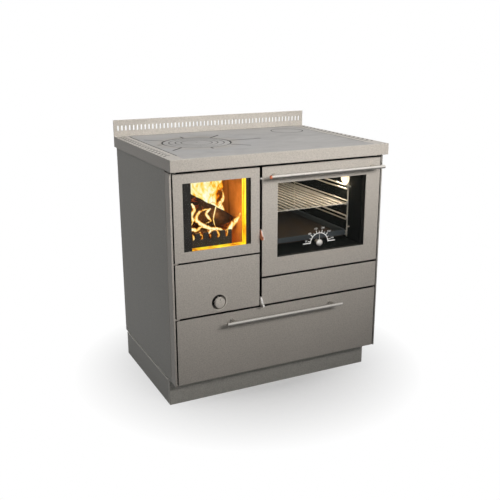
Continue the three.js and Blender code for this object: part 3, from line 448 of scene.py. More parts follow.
def plate_steel():
    """Ground steel plate with heat tints around the hob and faint smears, and painted shade in its slots, in
    the gaps round the hob and the flue cover, along its back edge and on its recess walls.
    """
    base = colours().plate_steel
    finish = Finish("plate_steel")
    streaks = finish.noise(1.0, 5.0, 0.7, finish.stretched((9.0, 300.0, 300.0)))
    smears = finish.noise(7.0, 4.0, 0.6, finish.stretched((1.0, 1.6, 1.0)), 0.8)
    value = finish.blend((streaks, 0.5), (smears, 0.5))
    ground = finish.ramp(value, (0.3, tone(base, 0.78)), (0.5, base), (0.7, tone(base, 1.2)))
    offset = offset_from(finish, HOB)
    distance = finish.length(offset)
    edge = finish.plus(distance, finish.blend((smears, 0.12)))
    tint = finish.ramp(
        finish.span(edge, 0.1, 0.34),
        (0.0, (0.93, 0.91, 0.88)), (0.35, (0.97, 0.94, 0.9)), (0.6, (0.95, 0.96, 0.98)), (1.0, (1, 1, 1)),
    )
    finish.set(
        base_color=finish.mix(1.0, ground, tint, "MULTIPLY"),
        roughness=finish.span(value, 0.3, 0.7, 0.5, 0.66),
        specular_ior_level=0.06,
    )
    finish.relief(streaks, 0.12, 0.0002)
    slots = []
    for i in range(4):
        turn = math.radians(45 * i)
        along = finish.dot(offset, (math.cos(turn), math.sin(turn), 0.0))
        aside = finish.unsigned(finish.dot(offset, (-math.sin(turn), math.cos(turn), 0.0)))
        near, far = EXPANSION_ENDS[i] / 1000, -EXPANSION_ENDS[i + 4] / 1000
        slots.append(finish.times(
            finish.span(aside, 0.0022, 0.0044, 0.95, 0.0),
            finish.span(along, near, near + 0.001, 1.0, 0.0),
            finish.span(along, far - 0.001, far),
        ))
    # painted shade in the expansion slots
    finish.overlay(finish.times(finish.highest(*slots), finish.span(distance, 0.126, 0.1275)), PAINTED_GAP_SHADE)
    to_flue = offset_from(finish, FLUE)
    rim = finish.apart(finish.length(to_flue), FLUE_COVER / 1000)
    # painted shade in the gap round the flue cover
    finish.overlay(finish.span(rim, 0.0012, 0.003, 0.85, 0.0), PAINTED_GAP_SHADE)
    hob_edge = finish.less(distance, HOB_RADII[0] / 1000)
    # painted shade in the gap round the hob
    finish.overlay(finish.span(hob_edge, 0.002, 0.0055, 0.9, 0.0), PAINTED_GAP_SHADE)
    rear = place(0, PLATE_BACK, 0).y
    # painted shade along the back edge, under the backsplash
    finish.overlay(finish.span(finish.axis("Y"), rear - 0.008, rear - 0.004, 0.0, 0.7),
                   (0.06, 0.056, 0.052))
    paint_recess_shade(finish)
    return finish.material


def turned_steel():
    """Turned steel rings and lid, with fine marks round the hob's centre and painted shade in the gaps
    between the rings.
    """
    base = colours().plate_steel
    finish = Finish("turned_steel")
    offset = offset_from(finish, HOB)
    rings = finish.node(
        "ShaderNodeTexWave",
        {"Vector": offset, "Scale": 260.0, "Distortion": 1.2, "Detail": 2.0, "Detail Scale": 1.4},
        wave_type="RINGS", rings_direction="Z",
    ).outputs[1]
    smears = finish.noise(9.0, 4.0, 0.6)
    value = finish.blend((rings, 0.2), (smears, 0.8))
    distance = finish.length(offset)
    # painted shade in the gaps between the rings
    ring_gap_shades = []
    for radius in HOB_RADII:
        gap = finish.apart(distance, radius / 1000)
        ring_gap_shades.append(finish.span(gap, 0.0008, 0.0028, 0.85, 0.0))
    ground = finish.ramp(
        value, (0.3, tone(base, 0.8)), (0.5, tone(base, 0.97)), (0.75, tone(base, 1.15))
    )
    finish.set(
        base_color=finish.mix(finish.highest(*ring_gap_shades), ground, (0.06, 0.055, 0.05)),
        roughness=finish.span(value, 0.3, 0.7, 0.5, 0.66),
        specular_ior_level=0.06,
    )
    finish.relief(rings, 0.15, 0.0002)
    paint_recess_shade(finish)
    return finish.material


def bright_steel():
    base = colours().bright_steel
    finish = Finish("bright_steel")
    scratches = finish.noise(1.0, 4.0, 0.7, finish.stretched((30.0, 900.0, 900.0)))
    finish.set(
        base_color=finish.ramp(scratches, (0.3, tone(base, 0.92)), (0.7, base)),
        roughness=finish.span(scratches, 0.3, 0.7, 0.16, 0.3),
        metallic=1.0,
    )
    finish.relief(scratches, 0.05, 0.0001)
    return finish.material


def handle_steel():
    """Drawn bar with painted light: lighter on top and darker beneath, darker still low on the stove, and a
    painted coppery reflection of the fire on the oven handle's left end.
    """
    base = colours().handle_steel
    finish = Finish("handle_steel")
    scratches = finish.noise(1.0, 4.0, 0.7, finish.stretched((30.0, 900.0, 900.0)))
    # painted reflection of the fire on the oven handle's left end
    fire_reflection_end = finish.span(finish.axis("X"), place(-65.5, 0, 0).x, place(-59, 0, 0).x, 1.0, 0.0)
    high = finish.span(finish.axis("Z"), 0.7, 0.71)
    # painted light: the colour follows the surface's facing, light on top and dark beneath, with scratches
    # mixed in
    facing = finish.node("ShaderNodeTexCoord").outputs["Normal"]
    upward = finish.node("ShaderNodeSeparateXYZ", {0: facing}).outputs[2]
    drawn = finish.plus(finish.span(upward, -1.0, 1.0), finish.blend((scratches, 0.2)))
    body = finish.ramp(
        drawn, (0.3, tone(base, 0.12)), (0.5, tone(base, 0.42)), (0.7, base), (0.9, tone(base, 1.15))
    )
    finish.set(
        base_color=finish.mix(finish.times(fire_reflection_end, high), body, (0.75, 0.22, 0.1)),
        roughness=finish.span(scratches, 0.3, 0.7, 0.24, 0.38),
        metallic=0.8,
    )
    # painted shade on the drawer handle, low on the stove
    finish.overlay(finish.span(finish.axis("Z"), 0.45, 0.5, 0.45, 0.0), tone(base, 0.3))
    finish.relief(scratches, 0.05, 0.0001)
    return finish.material


def latch_steel():
    """Cast latch, polished bright, with a painted coppery reflection of the fire on the upper latch's left
    end.
    """
    base = colours().bright_steel
    finish = Finish("latch_steel")
    wear = finish.noise(130.0, 3.0, 0.6)
    # painted reflection of the fire on the upper latch's left end
    latch_fire_reflection = finish.times(
        finish.span(finish.axis("X"), place(-84.5, 0, 0).x, place(-80.5, 0, 0).x, 1.0, 0.0),
        finish.span(finish.axis("Z"), 0.5, 0.52),
    )
    finish.set(
        base_color=finish.mix(
            latch_fire_reflection, finish.ramp(wear, (0.3, tone(base, 0.8)), (0.7, base)), (0.8, 0.32, 0.17)
        ),
        roughness=finish.span(wear, 0.3, 0.7, 0.22, 0.4),
        metallic=0.7,
    )
    finish.relief(wear, 0.1, 0.0003)
    return finish.material


def oven_wire():
    """Bright wire of the racks and the shelf, slightly straw-coloured from heat."""
    finish = Finish("oven_wire")
    patches = finish.noise(24.0, 3.0, 0.6)
    finish.set(
        base_color=finish.ramp(patches, (0.3, (0.86, 0.78, 0.64)), (0.6, (0.97, 0.93, 0.84))),
        roughness=finish.span(patches, 0.3, 0.7, 0.3, 0.5),
        metallic=0.1,
    )
    finish.relief(patches, 0.1, 0.0002)
    return finish.material


def dark_steel():
    base = colours().dark_steel
    finish = Finish("dark_steel")
    peel = finish.noise(500.0, 2.0, 0.5)
    soot = finish.noise(14.0, 4.0, 0.6)
    value = finish.blend((peel, 0.3), (soot, 0.7))
    finish.set(
        base_color=finish.ramp(value, (0.3, tone(base, 0.7)), (0.5, base), (0.75, tone(base, 1.5))),
        roughness=finish.span(value, 0.3, 0.7, 0.5, 0.7),
        specular_ior_level=0.08,
    )
    finish.relief(peel, 0.2, 0.0002)
    return finish.material


def cast_iron():
    base = colours().cast_iron
    finish = Finish("cast_iron")
    grain = finish.noise(260.0, 5.0, 0.65)
    patches = finish.noise(18.0, 3.0, 0.6)
    value = finish.blend((grain, 0.5), (patches, 0.5))
    finish.set(
        base_color=finish.ramp(
            value, (0.3, tone(base, 0.6)), (0.5, base), (0.68, (0.1, 0.085, 0.075))
        ),
        roughness=finish.span(value, 0.3, 0.7, 0.6, 0.85),
        metallic=0.3,
        specular_ior_level=0.25,
    )
    finish.relief(grain, 0.5, 0.0006)
    return finish.material


def firebrick():
    """Pressed refractory with dark grit, and soot in streaks and patches that thickens towards the top."""
    base = colours().firebrick
    finish = Finish("firebrick")
    grit = finish.cells(320.0)
    blotch = finish.noise(11.0, 5.0, 0.6)
    streaks = finish.noise(1.0, 3.0, 0.6, finish.stretched((60.0, 60.0, 5.0)))
    height = finish.span(finish.axis("Z"), 0.52, 0.8)
    value = finish.blend((grit, 0.25), (blotch, 0.75))
    body = finish.ramp(value, (0.25, tone(base, 0.62)), (0.45, base), (0.75, tone(base, 1.15)))
    soot = finish.highest(finish.span(streaks, 0.5, 0.66, 0.0, 0.62), finish.times(
        finish.span(blotch, 0.42, 0.72), finish.span(height, 0.1, 1.0, 0.15, 0.7)
    ))
    finish.set(
        base_color=finish.mix(soot, body, (0.05, 0.035, 0.028)),
        roughness=finish.span(value, 0.2, 0.8, 0.85, 0.98),
        specular_ior_level=0.1,
    )
    finish.relief(value, 0.5, 0.0012)
    return finish.material


def enamel():
    base = colours().enamel
    finish = Finish("enamel")
    flecks = finish.cells(420.0)
    flow = finish.noise(20.0, 3.0, 0.5)
    finish.set(
        base_color=finish.ramp(flecks, (0.0, (0.09, 0.09, 0.09)), (0.06, tone(base, 1.4)), (0.3, base)),
        roughness=finish.span(flow, 0.3, 0.7, 0.4, 0.56),
        specular_ior_level=0.02,
    )
    finish.relief(flow, 0.15, 0.0004)
    return finish.material


def tray_enamel():
    """Enamel of the baking tray, browned inside by use."""
    finish = Finish("tray_enamel")
    burnt = finish.noise(9.0, 5.0, 0.65)
    flecks = finish.cells(420.0)
    rim = finish.span(finish.axis("Z"), place(0, 0, 508.4).z, place(0, 0, 509.4).z, 0.0, 0.85)
    body = finish.ramp(
        burnt, (0.3, (0.025, 0.023, 0.022)), (0.5, (0.045, 0.033, 0.024)), (0.7, (0.075, 0.048, 0.028))
    )
    flecked = finish.mix(finish.span(flecks, 0.0, 0.06, 0.2, 0.0), body, (0.2, 0.2, 0.2))
    finish.set(
        base_color=finish.mix(rim, flecked, (0.1, 0.12, 0.135)),
        roughness=finish.span(burnt, 0.3, 0.7, 0.35, 0.55),
        specular_ior_level=0.1,
    )
    finish.relief(burnt, 0.2, 0.0004)
    return finish.material


def galvanised():
    base = colours().galvanised
    finish = Finish("galvanised")
    spangle = finish.cells(70.0, output=1)
    grey = finish.node("ShaderNodeRGBToBW", {0: spangle}).outputs[0]
    dust = finish.noise(6.0, 4.0, 0.6)
    value = finish.blend((grey, 0.45), (dust, 0.55))
    finish.set(
        base_color=finish.ramp(value, (0.25, tone(base, 0.78)), (0.5, base), (0.75, tone(base, 1.12))),
        roughness=finish.span(grey, 0.0, 1.0, 0.36, 0.58),
        metallic=0.55,
    )
    finish.relief(grey, 0.05, 0.0002)
    return finish.material


def rubber():
    base = colours().rubber
    finish = Finish("rubber")
    grain = finish.noise(380.0, 3.0, 0.6)
    finish.set(
        base_color=finish.ramp(grain, (0.3, tone(base, 0.7)), (0.7, tone(base, 1.4))),
        roughness=finish.span(grain, 0.3, 0.7, 0.7, 0.9),
    )
    finish.relief(grain, 0.3, 0.0004)
    return finish.material


def pane(name, base, haze, alpha):
    """Clear pane with wiping marks; haze is the alpha that the marks add."""
    finish = Finish(name)
    wipes = finish.noise(1.0, 3.0, 0.6, finish.stretched((16.0, 16.0, 5.0)), 0.6)
    finish.set(
        base_color=finish.ramp(wipes, (0.3, tone(base, 0.9)), (0.7, base)),
        roughness=finish.span(wipes, 0.3, 0.7, 0.03, 0.12),
        alpha=finish.span(wipes, 0.45, 0.75, alpha, alpha + haze),
        specular_ior_level=0.2,
    )
    return finish.material


def clear_glass():
    return pane("clear_glass", (0.02, 0.024, 0.022), 0.05, 0.1)


def fire_glass():
    return pane("fire_glass", (0.03, 0.024, 0.02), 0.04, 0.06)


def rope():
    finish = Finish("rope")
    braid = finish.node(
        "ShaderNodeTexWave", {"Vector": finish.where, "Scale": 190.0, "Distortion": 2.0, "Detail": 2.0},
        bands_direction="DIAGONAL",
    ).outputs[1]
    finish.set(
        base_color=finish.ramp(braid, (0.2, (0.05, 0.048, 0.045)), (0.8, (0.24, 0.23, 0.215))),
        roughness=finish.span(braid, 0.0, 1.0, 0.8, 0.98),
    )
    finish.relief(braid, 0.6, 0.0006)
    return finish.material


def charred_wood():
    """Burning split log: charcoal with ash on it and fire in its cracks."""
    finish = Finish("charred_wood")
    fibre = finish.noise(1.0, 5.0, 0.7, finish.stretched((40.0, 90.0, 90.0)))
    cracks = finish.cells(1.0, "DISTANCE_TO_EDGE", 0, finish.node("ShaderNodeVectorMath", {
        0: finish.stretched((22.0, 55.0, 55.0)),
        1: finish.node("ShaderNodeTexNoise", {"Vector": finish.where, "Scale": 40.0}).outputs[1],
    }, operation="ADD").outputs[0])
    ash = finish.noise(30.0, 4.0, 0.6)
    glow = finish.times(
        finish.span(cracks, 0.0, 0.05, 1.0, 0.0), finish.span(finish.noise(16.0, 2.0), 0.54, 0.68)
    )
    finish.set(
        base_color=finish.ramp(
            finish.blend((fibre, 0.6), (ash, 0.4)),
            (0.3, (0.004, 0.003, 0.003)), (0.55, (0.016, 0.008, 0.006)), (0.75, (0.05, 0.026, 0.018)),
        ),
        roughness=finish.span(fibre, 0.3, 0.7, 0.8, 0.95),
        emission_color=finish.ramp(
            glow, (0.0, (0, 0, 0)), (0.5, (0.5, 0.05, 0.003)), (1.0, (1.0, 0.3, 0.03))
        ),
        emission_strength=0.6,
    )
    finish.relief(finish.blend((fibre, 0.6), (cracks, 0.8)), 0.7, 0.004)
    return finish.material


def ember():
    finish = Finish("ember")
    crust = finish.noise(70.0, 4.0, 0.65)
    finish.set(
        base_color=finish.ramp(crust, (0.35, (0.02, 0.012, 0.01)), (0.65, (0.25, 0.2, 0.17))),
        emission_color=finish.ramp(
            crust, (0.36, (1.0, 0.42, 0.06)), (0.5, (0.85, 0.12, 0.008)), (0.66, (0.02, 0.002, 0.0))
        ),
        emission_strength=1.5,
        roughness=finish.span(crust, 0.3, 0.7, 0.8, 0.95),
    )
    finish.relief(crust, 0.6, 0.004)
    return finish.material


def flame_wall(name, right, shift):
    """A sheet of fire, from white-hot to orange, that thins out upwards and towards its right edge."""
    finish = Finish(name)
    licks = finish.noise(1.0, 3.0, 0.5, finish.stretched((19.0, 19.0, 9.0), shift), 1.4)
    wisps = finish.noise(1.0, 2.0, 0.5, finish.stretched((58.0, 58.0, 24.0), shift), 1.2)
    fade = finish.span(finish.axis("X"), right - 0.03, right)
    low = finish.span(finish.axis("Z"), 0.585, 0.66, 0.2, 0.0)
    body = finish.blend((licks, 0.86), (wisps, 0.46))
    value = finish.less(body, finish.blend((fade, 0.42), (low, 1.0)))
    finish.set(
        base_color=(0.0, 0.0, 0.0, 1.0),
        emission_color=finish.ramp(
            value,
            (0.43, (0.75, 0.1, 0.004)), (0.51, (1.0, 0.3, 0.008)), (0.59, (1.0, 0.62, 0.06)),
            (0.67, (1.0, 0.88, 0.3)), (0.78, (1.0, 1.0, 0.8)),
        ),
        emission_strength=1.15,
        alpha=finish.span(value, 0.42, 0.5),
        roughness=1.0,
        specular_ior_level=0.0,
    )
    finish.material.cycles.emission_sampling = "NONE"
    return finish.material


def flame_tongue():
    """Fire of a single tongue: bright in its middle, orange at the rim and thin at its tip."""
    finish = Finish("flame_tongue")
    glow = finish.node("ShaderNodeAttribute", attribute_name="glow").outputs["Color"]
    parts = finish.node("ShaderNodeSeparateColor", {0: glow}).outputs
    flicker = finish.noise(1.0, 3.0, 0.6, finish.stretched((80.0, 80.0, 45.0)), 0.9)
    value = finish.plus(
        finish.blend((parts[0], 0.95), (parts[1], -0.45)),
        finish.span(flicker, 0.3, 0.7, -0.42, 0.22),
    )
    finish.set(
        base_color=(0.0, 0.0, 0.0, 1.0),
        emission_color=finish.ramp(
            value,
            (0.0, (0.5, 0.05, 0.002)), (0.2, (0.95, 0.26, 0.01)), (0.42, (1.0, 0.66, 0.14)),
            (0.72, (1.0, 0.95, 0.6)),
        ),
        emission_strength=1.25,
        alpha=finish.span(value, 0.0, 0.4),
        roughness=1.0,
        specular_ior_level=0.0,
    )
    finish.material.cycles.emission_sampling = "NONE"
    return finish.material


def reveal_fire_reflection():
    """Bare steel reveal with a painted reflection of the fire: yellow colour and glow, warmer higher up."""
    finish = Finish("reveal_fire_reflection")
    ripple = finish.noise(1.0, 3.0, 0.6, finish.stretched((30.0, 60.0, 14.0)), 0.5)
    warm = finish.plus(ripple, finish.span(finish.axis("Z"), 0.55, 0.66, -0.03, 0.06))
    finish.set(
        base_color=finish.ramp(ripple, (0.3, (0.5, 0.35, 0.08)), (0.7, (0.8, 0.62, 0.2))),
        emission_color=finish.ramp(
            warm,
            (0.3, (0.45, 0.08, 0.0)), (0.42, (1.0, 0.4, 0.0)), (0.5, (1.0, 0.78, 0.0)),
            (0.66, (1.0, 0.94, 0.03)),
        ),
        emission_strength=0.95,
        roughness=finish.span(ripple, 0.3, 0.7, 0.3, 0.5),
        metallic=0.6,
    )
    finish.material.cycles.emission_sampling = "NONE"
    return finish.material


def lamp_glass():
    finish = Finish("lamp_glass")
    ribs = finish.node(
        "ShaderNodeTexWave", {"Vector": finish.where, "Scale": 90.0, "Distortion": 0.6},
        bands_direction="Z",
    ).outputs[1]
    finish.set(
        base_color=finish.ramp(ribs, (0.0, (0.75, 0.68, 0.55)), (1.0, (0.95, 0.92, 0.85))),
        emission_color=finish.ramp(ribs, (0.0, (1.0, 0.72, 0.36)), (0.8, (1.0, 0.92, 0.72))),
        emission_strength=1.5,
        roughness=finish.span(ribs, 0.0, 1.0, 0.1, 0.3),
    )
    finish.relief(ribs, 0.3, 0.0006)
    return finish.material


def dial_print():
    base = colours().print
    finish = Finish("dial_print")
    screen = finish.noise(700.0, 2.0, 0.5)
    finish.set(
        base_color=finish.ramp(screen, (0.3, tone(base, 0.85)), (0.6, base)),
        # the print also glows faintly: painted light that keeps it bright
        emission_color=finish.ramp(screen, (0.3, (0.3, 0.3, 0.29)), (0.6, (0.42, 0.42, 0.41))),
        emission_strength=0.5,
        roughness=finish.span(screen, 0.3, 0.7, 0.4, 0.6),
    )
    return finish.material


MAKERS = {
    maker.__name__: maker
    for maker in (
        satin_steel, door_steel, knob_steel, worktop_steel, body_steel, side_steel, plinth_brightened_steel,
        plate_steel, handle_steel, latch_steel, turned_steel, bright_steel, oven_wire,
        dark_steel, cast_iron, firebrick, enamel, tray_enamel, galvanised, rubber, clear_glass,
        fire_glass, rope, charred_wood, ember, flame_tongue, reveal_fire_reflection, lamp_glass, dial_print,
    )
}


def finish_of(name):
    """The named finish, made at its first use."""
    return bpy.data.materials.get(name + "_finish") or MAKERS[name]()


# ------------------------------------------------------------------ shapes


def place(x, depth, z):
    return Vector((x / 1000, FRONT_EDGE + depth / 1000, z / 1000))


def added(name, data, body, finish, stands_for=()):
    """A new piece in the scene, riding on its body."""
    piece = bpy.data.objects.new(name, data)
    bpy.context.scene.collection.objects.link(piece)
    material = finish if isinstance(finish, bpy.types.Material) else finish_of(finish)
    data.materials.clear()
    data.materials.append(material)
    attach(piece, body)
    if stands_for:
        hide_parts(*stands_for)
    return piece


def stand_in(node, ending, mesh, finish):
    """A finer piece in the place of a piece of the frame."""
    return added(node + ending, mesh, BODY_OF[node], finish, (node,))


def in_metres(profile):
    return [(radius / 1000, distance / 1000) for radius, distance in profile]


def skin(shape, rows, closed=False):
    """Adds the faces between rows of points; closed joins the end of each row to its start."""
    for low, high in zip(rows, rows[1:]):
        for i in range(len(low) if closed else len(low) - 1):
            j = (i + 1) % len(low)
            shape.faces.new((low[i], low[j], high[j], high[i]))


def mesh_from(name, shape, smooth=None):
    """A mesh from a bmesh; smooth is the angle above which an edge stays sharp."""
    mesh = bpy.data.meshes.new(name)
    shape.to_mesh(mesh)
    shape.free()
    if smooth is not None:
        mesh.shade_smooth()
        mesh.set_sharp_from_angle(angle=math.radians(smooth))
    return mesh


def settled(piece):
    """Turns a piece's modifiers into mesh."""
    graph = bpy.context.evaluated_depsgraph_get()
    mesh = bpy.data.meshes.new_from_object(piece.evaluated_get(graph))
    piece.modifiers.clear()
    piece.data = mesh
    return piece


def folded(node, finish, radius=None, shortest=0.012, segments=2):
    """The node's sheet with its long edges rounded, in place of the sharp one."""
    radius = radius or bpy.context.scene.stove_sizes.fold
    shape = bmesh.new()
    shape.from_mesh(frame["nodes"][node].data)
    bmesh.ops.remove_doubles(shape, verts=shape.verts, dist=1e-6)
    bmesh.ops.dissolve_limit(
        shape, angle_limit=math.radians(1), verts=shape.verts, edges=shape.edges
    )
    weight = shape.edges.layers.float.new("bevel_weight_edge")
    for edge in shape.edges:
        if edge.calc_face_angle(0.0) > math.radians(30) and edge.calc_length() > shortest:
            edge[weight] = 1.0
    piece = stand_in(node, "_shaped", mesh_from(node + "_shaped", shape), finish)
    bevel = piece.modifiers.new("Fold", "BEVEL")
    bevel.width = radius
    bevel.segments = segments
    bevel.limit_method = "WEIGHT"
    bevel.use_clamp_overlap = True
    return settled(piece)


def lathe(shape, profile, origin, along, steps=64):
    """Adds a turned body; the profile is a list of (radius, distance along the axis), in metres."""
    along = Vector(along).normalized()
    side = along.orthogonal().normalized()
    other = along.cross(side)
    rows = []
    for radius, distance in profile:
        centre = Vector(origin) + along * distance
        if radius < 1e-7:
            rows.append([shape.verts.new(centre)])
            continue
        rows.append([
            shape.verts.new(centre + radius * (side * math.cos(turn) + other * math.sin(turn)))
            for turn in (2 * math.pi * i / steps for i in range(steps))
        ])
    for low, high in zip(rows, rows[1:]):
        for i in range(steps):
            j = (i + 1) % steps
            corners = [low[i % len(low)], low[j % len(low)], high[j % len(high)], high[i % len(high)]]
            corners = [v for k, v in enumerate(corners) if v not in corners[:k]]
            if len(corners) > 2:
                shape.faces.new(corners)


def turned_mesh(name, bodies, steps=64, smooth=28):
    """A mesh of one or more turned bodies; each is (profile, origin, axis), in metres."""
    shape = bmesh.new()
    for profile, origin, along in bodies:
        lathe(shape, profile, origin, along, steps)
    bmesh.ops.recalc_face_normals(shape, faces=shape.faces)
    return mesh_from(name, shape, smooth)


def wires(name, paths, radius, body, finish, stands_for=(), closed=False):
    """Round wires along paths of points."""
    curve = bpy.data.curves.new(name, "CURVE")
    curve.dimensions = "3D"
    curve.bevel_depth = radius
    curve.bevel_resolution = 3
    curve.use_fill_caps = True
    for points in paths:
        spline = curve.splines.new("POLY")
        spline.points.add(len(points) - 1)
        for target, point in zip(spline.points, points):
            target.co = (*point, 1.0)
        spline.use_cyclic_u = closed
    return added(name, curve, body, finish, stands_for)


def rounded_loop(x, depth, z, radius, steps=6):
    """A rectangle with round corners in a door's plane, as points."""
    points = []
    corners = ((x[1], z[1], 0), (x[0], z[1], 90), (x[0], z[0], 180), (x[1], z[0], 270))
    for cx, cz, start in corners:
        middle = (cx - math.copysign(radius, cx - sum(x) / 2), cz - math.copysign(radius, cz - sum(z) / 2))
        for i in range(steps + 1):
            turn = math.radians(start + 90 * i / steps)
            points.append(place(
                middle[0] + radius * math.cos(turn), depth, middle[1] + radius * math.sin(turn)
            ))
    return points


def block_mesh(shape, low, high):
    """Adds a box between two corners, in metres, with its edges broken."""
    size = Vector(high) - Vector(low)
    made = bmesh.ops.create_cube(
        shape, size=1.0,
        matrix=Matrix.Translation((Vector(low) + Vector(high)) / 2) @ Matrix.Diagonal((*size, 1.0)),
    )
    edges = {edge for vert in made["verts"] for edge in vert.link_edges}
    bmesh.ops.bevel(shape, geom=list(edges), offset=min(size) * 0.12, segments=1, affect="EDGES")


class StoveStep:
    """What all the stove's operators share."""

    bl_options = {"REGISTER", "UNDO"}


# ------------------------------------------------------------------ operators: frame finishes


class StovePlainFinishes(StoveStep, bpy.types.Operator):
    """Give every piece of the frame the finish of its material slot"""

    bl_idname = "stove.plain_finishes"
    bl_label = "Finishes of the frame"

    def execute(self, context):
        special = {
            "firebox_door_glass": "fire_glass", "oven_lamp": "lamp_glass",
            "side_panel_left": "side_steel", "side_panel_right": "side_steel",
            "plinth_left": "side_steel", "plinth_right": "side_steel",
        }
        for node, piece in frame["nodes"].items():
            material = finish_of(special.get(node, SLOT_OF[node]))
            for held in piece.material_slots:
                held.material = material
        return {"FINISHED"}


class StoveSheetWork(StoveStep, bpy.types.Operator):
    """Round the folds of the doors, drawer, worktop, backsplash, posts, sides and plinth"""

    bl_idname = "stove.sheet_work"
    bl_label = "Sheet work"

    def execute(self, context):
        for node in ("firebox_door", "ash_door", "oven_door", "fascia", "drawer_front"):
            folded(node, "door_steel")
        for node in ("backsplash", "front_post_left"):
            folded(node, "satin_steel")
        folded("worktop", "worktop_steel")
        for node in ("plinth_front", "plinth_rear"):
            folded(node, "plinth_brightened_steel")
        folded("front_post_right", "body_steel")
        for node in ("side_panel_left", "side_panel_right", "plinth_left", "plinth_right"):
            folded(node, "side_steel")
        return {"FINISHED"}


class StoveHob(StoveStep, bpy.types.Operator):
    """Turn the hotplate's rings, lid and flue cover, and break the plate's edges"""

    bl_idname = "stove.hob"
    bl_label = "Hotplate and rings"

    def execute(self, context):
        folded("hotplate", "plate_steel", 0.0006, 0.03)
        bottom, step, top = TOP - 7.6, TOP - 3.7, TOP
        for level, node in enumerate(("hob_ring_outer", "hob_ring_middle", "hob_ring_inner")):
            outer = HOB_RADII[level] - HOB_GAPS[level]
            lower = HOB_RADII[level] - 7.6
            inner = HOB_RADII[level + 1]
            ledge = inner - 7
            profile = [
                (ledge, bottom), (lower, bottom), (lower, step), (outer, step), (outer, top - 0.8),
                (outer - 0.8, top), (inner + 0.6, top), (inner, top - 0.6), (inner, TOP - 4),
                (ledge, TOP - 4), (ledge, bottom),
            ]
            self.turn(node, profile, HOB, "turned_steel")
        lid = HOB_RADII[3] - HOB_GAPS[3]
        pocket = [(0, TOP - 4), (3.5, TOP - 4), (4.2, top - 0.6), (5.0, top)]
        self.turn("hob_lid", self.disc(lid, 46.9, bottom, step, top) + pocket[::-1], HOB, "turned_steel")
        self.turn(
            "flue_cover", self.disc(FLUE_COVER, 53.9, bottom, step, top) + [(0, top)], FLUE, "plate_steel"
        )
        return {"FINISHED"}

    @staticmethod
    def disc(outer, lower, bottom, step, top):
        return [
            (0, bottom), (lower, bottom), (lower, step), (outer, step), (outer, top - 0.7),
            (outer - 0.7, top),
        ]

    @staticmethod
    def turn(node, profile, centre, finish):
        mesh = turned_mesh(node + "_turned", [(in_metres(profile), place(*centre, 0), (0, 0, 1))], 128)
        stand_in(node, "_turned", mesh, finish)


class StoveHandles(StoveStep, bpy.types.Operator):
    """Turn the two bar handles on their posts"""

    bl_idname = "stove.handles"
    bl_label = "Bar handles"

    def execute(self, context):
        radius = context.scene.stove_sizes.handle
        for node, (middle, height) in HANDLES.items():
            half = HANDLE_LENGTH / 2000
            bar = [
                (0, -half), (radius - 0.0009, -half), (radius, -half + 0.0009),
                (radius, half - 0.0009), (radius - 0.0009, half), (0, half),
            ]
            reach = (DOOR_FACE - 0.3 - HANDLE_DEPTH) / 1000
            post = [
                (0, 0), (0.0044, 0), (0.0044, reach - 0.004), (0.0052, reach - 0.003),
                (0.0052, reach), (0, reach),
            ]
            bodies = [(bar, place(middle, HANDLE_DEPTH, height), (1, 0, 0))]
            for side in (-1, 1):
                foot = place(middle + side * HANDLE_POSTS / 2, HANDLE_DEPTH, height)
                bodies.append((post, foot, (0, 1, 0)))
            mesh = turned_mesh(node + "_turned", bodies, 40)
            stand_in(node, "_turned", mesh, "handle_steel")
        return {"FINISHED"}


class StoveLatches(StoveStep, bpy.types.Operator):
    """Ease the edges of the two latch levers"""

    bl_idname = "stove.latches"
    bl_label = "Latches"

    def execute(self, context):
        for node in ("firebox_latch", "ash_latch"):
            folded(node, "latch_steel", 0.0012, 0.002, 3)
        return {"FINISHED"}


class StoveAirKnob(StoveStep, bpy.types.Operator):
    """Turn the air knob, with its pointer dot, and the lining of its dish"""

    bl_idname = "stove.air_knob"
    bl_label = "Air knob"

    def execute(self, context):
        x, z = AIR_KNOB
        profile = [
            (0, 14), (15.6, 14), (17.4, 14.7), (18, 16.4), (18, 23.2), (17.2, 24), (4, 24),
            (4, 33.6), (21.8, 33.6), (21.8, 35.6), (0, 35.6),
        ]
        mesh = turned_mesh("air_knob_turned", [(in_metres(profile), place(x, 0, z), (0, 1, 0))], 72)
        added("air_knob_turned", mesh, "air_knob", "knob_steel", ("air_knob",))

        dot = [(0, -0.0003), (0.0017, -0.0003), (0.0019, 0.0), (0, 0.0)]
        mesh = turned_mesh("air_knob_dot", [(dot, place(x, 14, z + 11), (0, 1, 0))], 20)
        added("air_knob_dot", mesh, "air_knob", "dark_steel")
        return {"FINISHED"}


# ------------------------------------------------------------------ operators: oven


